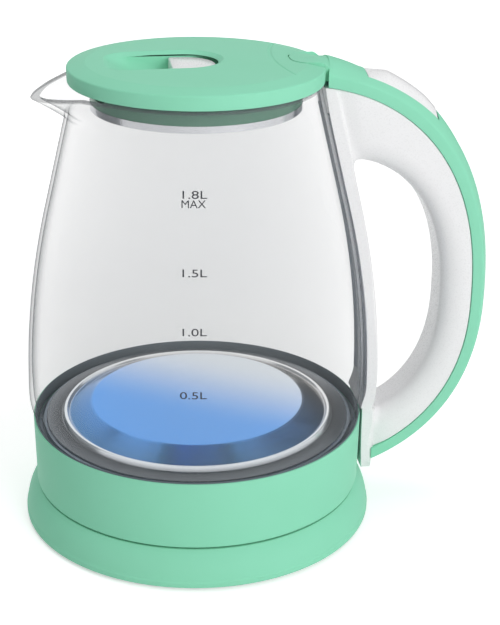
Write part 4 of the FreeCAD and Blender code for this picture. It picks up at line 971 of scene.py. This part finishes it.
spring = surface("release_spring", coil_points(spring_low, spring_high), (False, True), 60)
fitted(spring, zinc, "lid", "zinc_steel", "latch_spring")
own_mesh(spring)

# Level scale: figures screen-printed on the front of the jug and fired on, wrapped round the glass.
# They give the filling in litres, with the highest level marked under its figure.

# Scale ink, fired enamel: a flat, very dark grey with crisp edges.
ink = moulded("grey_scale_ink", ("#26282D", "#2E3035"), (0.45, 0.6), 0.3, 0.002)
scale_angle = math.radians(-97.4)
figure_height = 4.5
ink_lift = 0.04
ink_half = 0.02


def printed(words, height, widen=1.49):
    """Figures wrapped on the jug: a letter's x, widened, becomes an angle about the axis, its y a
    height, and its thickness stands out from the glass by some hundredths of a millimetre."""
    curve = bpy.data.curves.new("figures", "FONT")
    curve.body = words
    curve.size = figure_height
    curve.align_x = "CENTER"
    curve.extrude = ink_half
    holder = placed("figures", curve)
    mesh = settled(holder)
    bpy.data.objects.remove(holder)
    spots = np.empty(len(mesh.vertices) * 3, np.float32)
    mesh.vertices.foreach_get("co", spots)
    x, y, out = spots.reshape(-1, 3).T.astype(float)
    z = height + y
    r = jug_radius(z) + ink_lift + out
    angle = scale_angle + x * widen / r
    wrapped = np.stack([r * np.cos(angle), r * np.sin(angle), z], -1) / 1000
    mesh.vertices.foreach_set("co", wrapped.astype(np.float32).ravel())
    mesh.update()
    piece = placed("scale_" + words.replace(".", "_"), mesh)
    dressed(piece, ink)
    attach(piece, "jug")


printed("0.5L", 90.8)
printed("1.0L", 118.0)
printed("1.5L", 142.2)
printed("MAX", 169.6, 1.06)
printed("1.8L", 173.3)

# Studio: a white paper floor that keeps the contact shadow, a soft key from the front right, a weak
# top light, and an even white surround that glass and metal also see. Its lengths are metres.
floor_half = 6.0


def seen(tree):
    """1 for the rays that show a thing to the eye, straight, through glass or by gloss; 0 for others."""
    rays = add(tree, "LightPath").outputs
    straight = add(tree, "Math", {0: rays["Is Camera Ray"], 1: rays["Is Transmission Ray"]},
                   operation="MAXIMUM")
    both = add(tree, "Math", {0: straight.outputs[0], 1: rays["Is Glossy Ray"]}, operation="MAXIMUM")
    return both.outputs[0]


def stage_face(name, corners, material):
    """One flat stage face between four corners."""
    mesh = bpy.data.meshes.new(name)
    mesh.from_pydata(corners, [], [(0, 1, 2, 3)])
    mesh.materials.append(material)
    made = placed(name, mesh)
    return made


# White paper, uncoated: an even matt white that keeps the soft shadow, with painted light on top: to the
# eye it glows, more the farther it lies from the kettle, so that it pales with distance.
paper, tree, shader, place = started("white_paper_sweep")
shader.inputs["Base Color"].default_value = linear("#F4F4F4")
shader.inputs["Roughness"].default_value = 0.9
shader.inputs["Specular IOR Level"].default_value = 0.0
away = add(tree, "VectorMath", {0: place}, operation="LENGTH")
glow = add(tree, "MapRange", {"Value": away.outputs["Value"], "From Min": 0.3, "From Max": 2.0,
                              "To Min": 0.45, "To Max": 0.9})
shine = add(tree, "Math", {0: seen(tree), 1: glow.outputs["Result"]}, operation="MULTIPLY")
shader.inputs["Emission Color"].default_value = (1, 1, 1, 1)
tree.links.new(shine.outputs[0], shader.inputs["Emission Strength"])
stage_face("floor", [(-floor_half, -floor_half, 0), (floor_half, -floor_half, 0),
                     (floor_half, floor_half, 0), (-floor_half, floor_half, 0)], paper)

world = bpy.data.worlds.new("studio_surround")
world.use_nodes = True
bpy.context.scene.world = world
tree = world.node_tree
backdrop = tree.nodes["Background"]
strength = add(tree, "MapRange", {"Value": seen(tree), "To Min": 0.4, "To Max": 1.0})
backdrop.inputs["Color"].default_value = (1, 1, 1, 1)
tree.links.new(strength.outputs["Result"], backdrop.inputs["Strength"])


def lamp(name, place, target, size, power):
    """A square softbox that faces its target, kept out of mirror-like reflections."""
    light = bpy.data.lights.new(name, "AREA")
    light.size = size
    light.energy = power
    made = placed(name, light)
    made.location = place
    made.rotation_euler = (Vector(target) - Vector(place)).to_track_quat("-Z", "Y").to_euler()
    made.visible_glossy = False
    made.visible_transmission = False


jug_middle = (0, 0, 0.1)
lamp("key_softbox", (0.8, -1.4, 0.8), jug_middle, 1.0, 16)
lamp("top_softbox", (-0.2, 0.3, 1.8), jug_middle, 1.4, 8.5)

# Grey card, dyed board: a flat mid grey that draws dark edges into polished metal.
card_grey = moulded("grey_card", ("#8E9092", "#949698"), (0.8, 0.9), 1.0, 0.01)
card_height = 0.9


def card(name, x, near, far):
    """An upright card beside the set, seen only in reflections."""
    corners = [(x, near, 0.0), (x, far, 0.0), (x, far, card_height), (x, near, card_height)]
    made = stage_face(name, corners, card_grey)
    made.visible_camera = False
    made.visible_diffuse = False
    made.visible_shadow = False


card("left_card", -0.5, 0.0, 0.6)
card("right_card", 0.5, 0.3, 1.5)

# Camera: the photograph's viewpoint, a short way over the lid, with the spout to the left.
# Its place, turn and lens were found from the round rims of stand, ring and lid. Lengths are metres,
# but lens and sensor are millimetres.
camera = placed("camera", bpy.data.cameras.new("camera"))
camera.data.sensor_width = 36
camera.data.lens = 85.71
camera.data.clip_start = 0.01
camera.location = (-0.0677, -0.6319, 0.3612)
camera.rotation_euler = (math.radians(67.497), math.radians(-0.606), math.radians(-8.067))
bpy.context.scene.camera = camera
bpy.context.scene.view_settings.view_transform = "Standard"
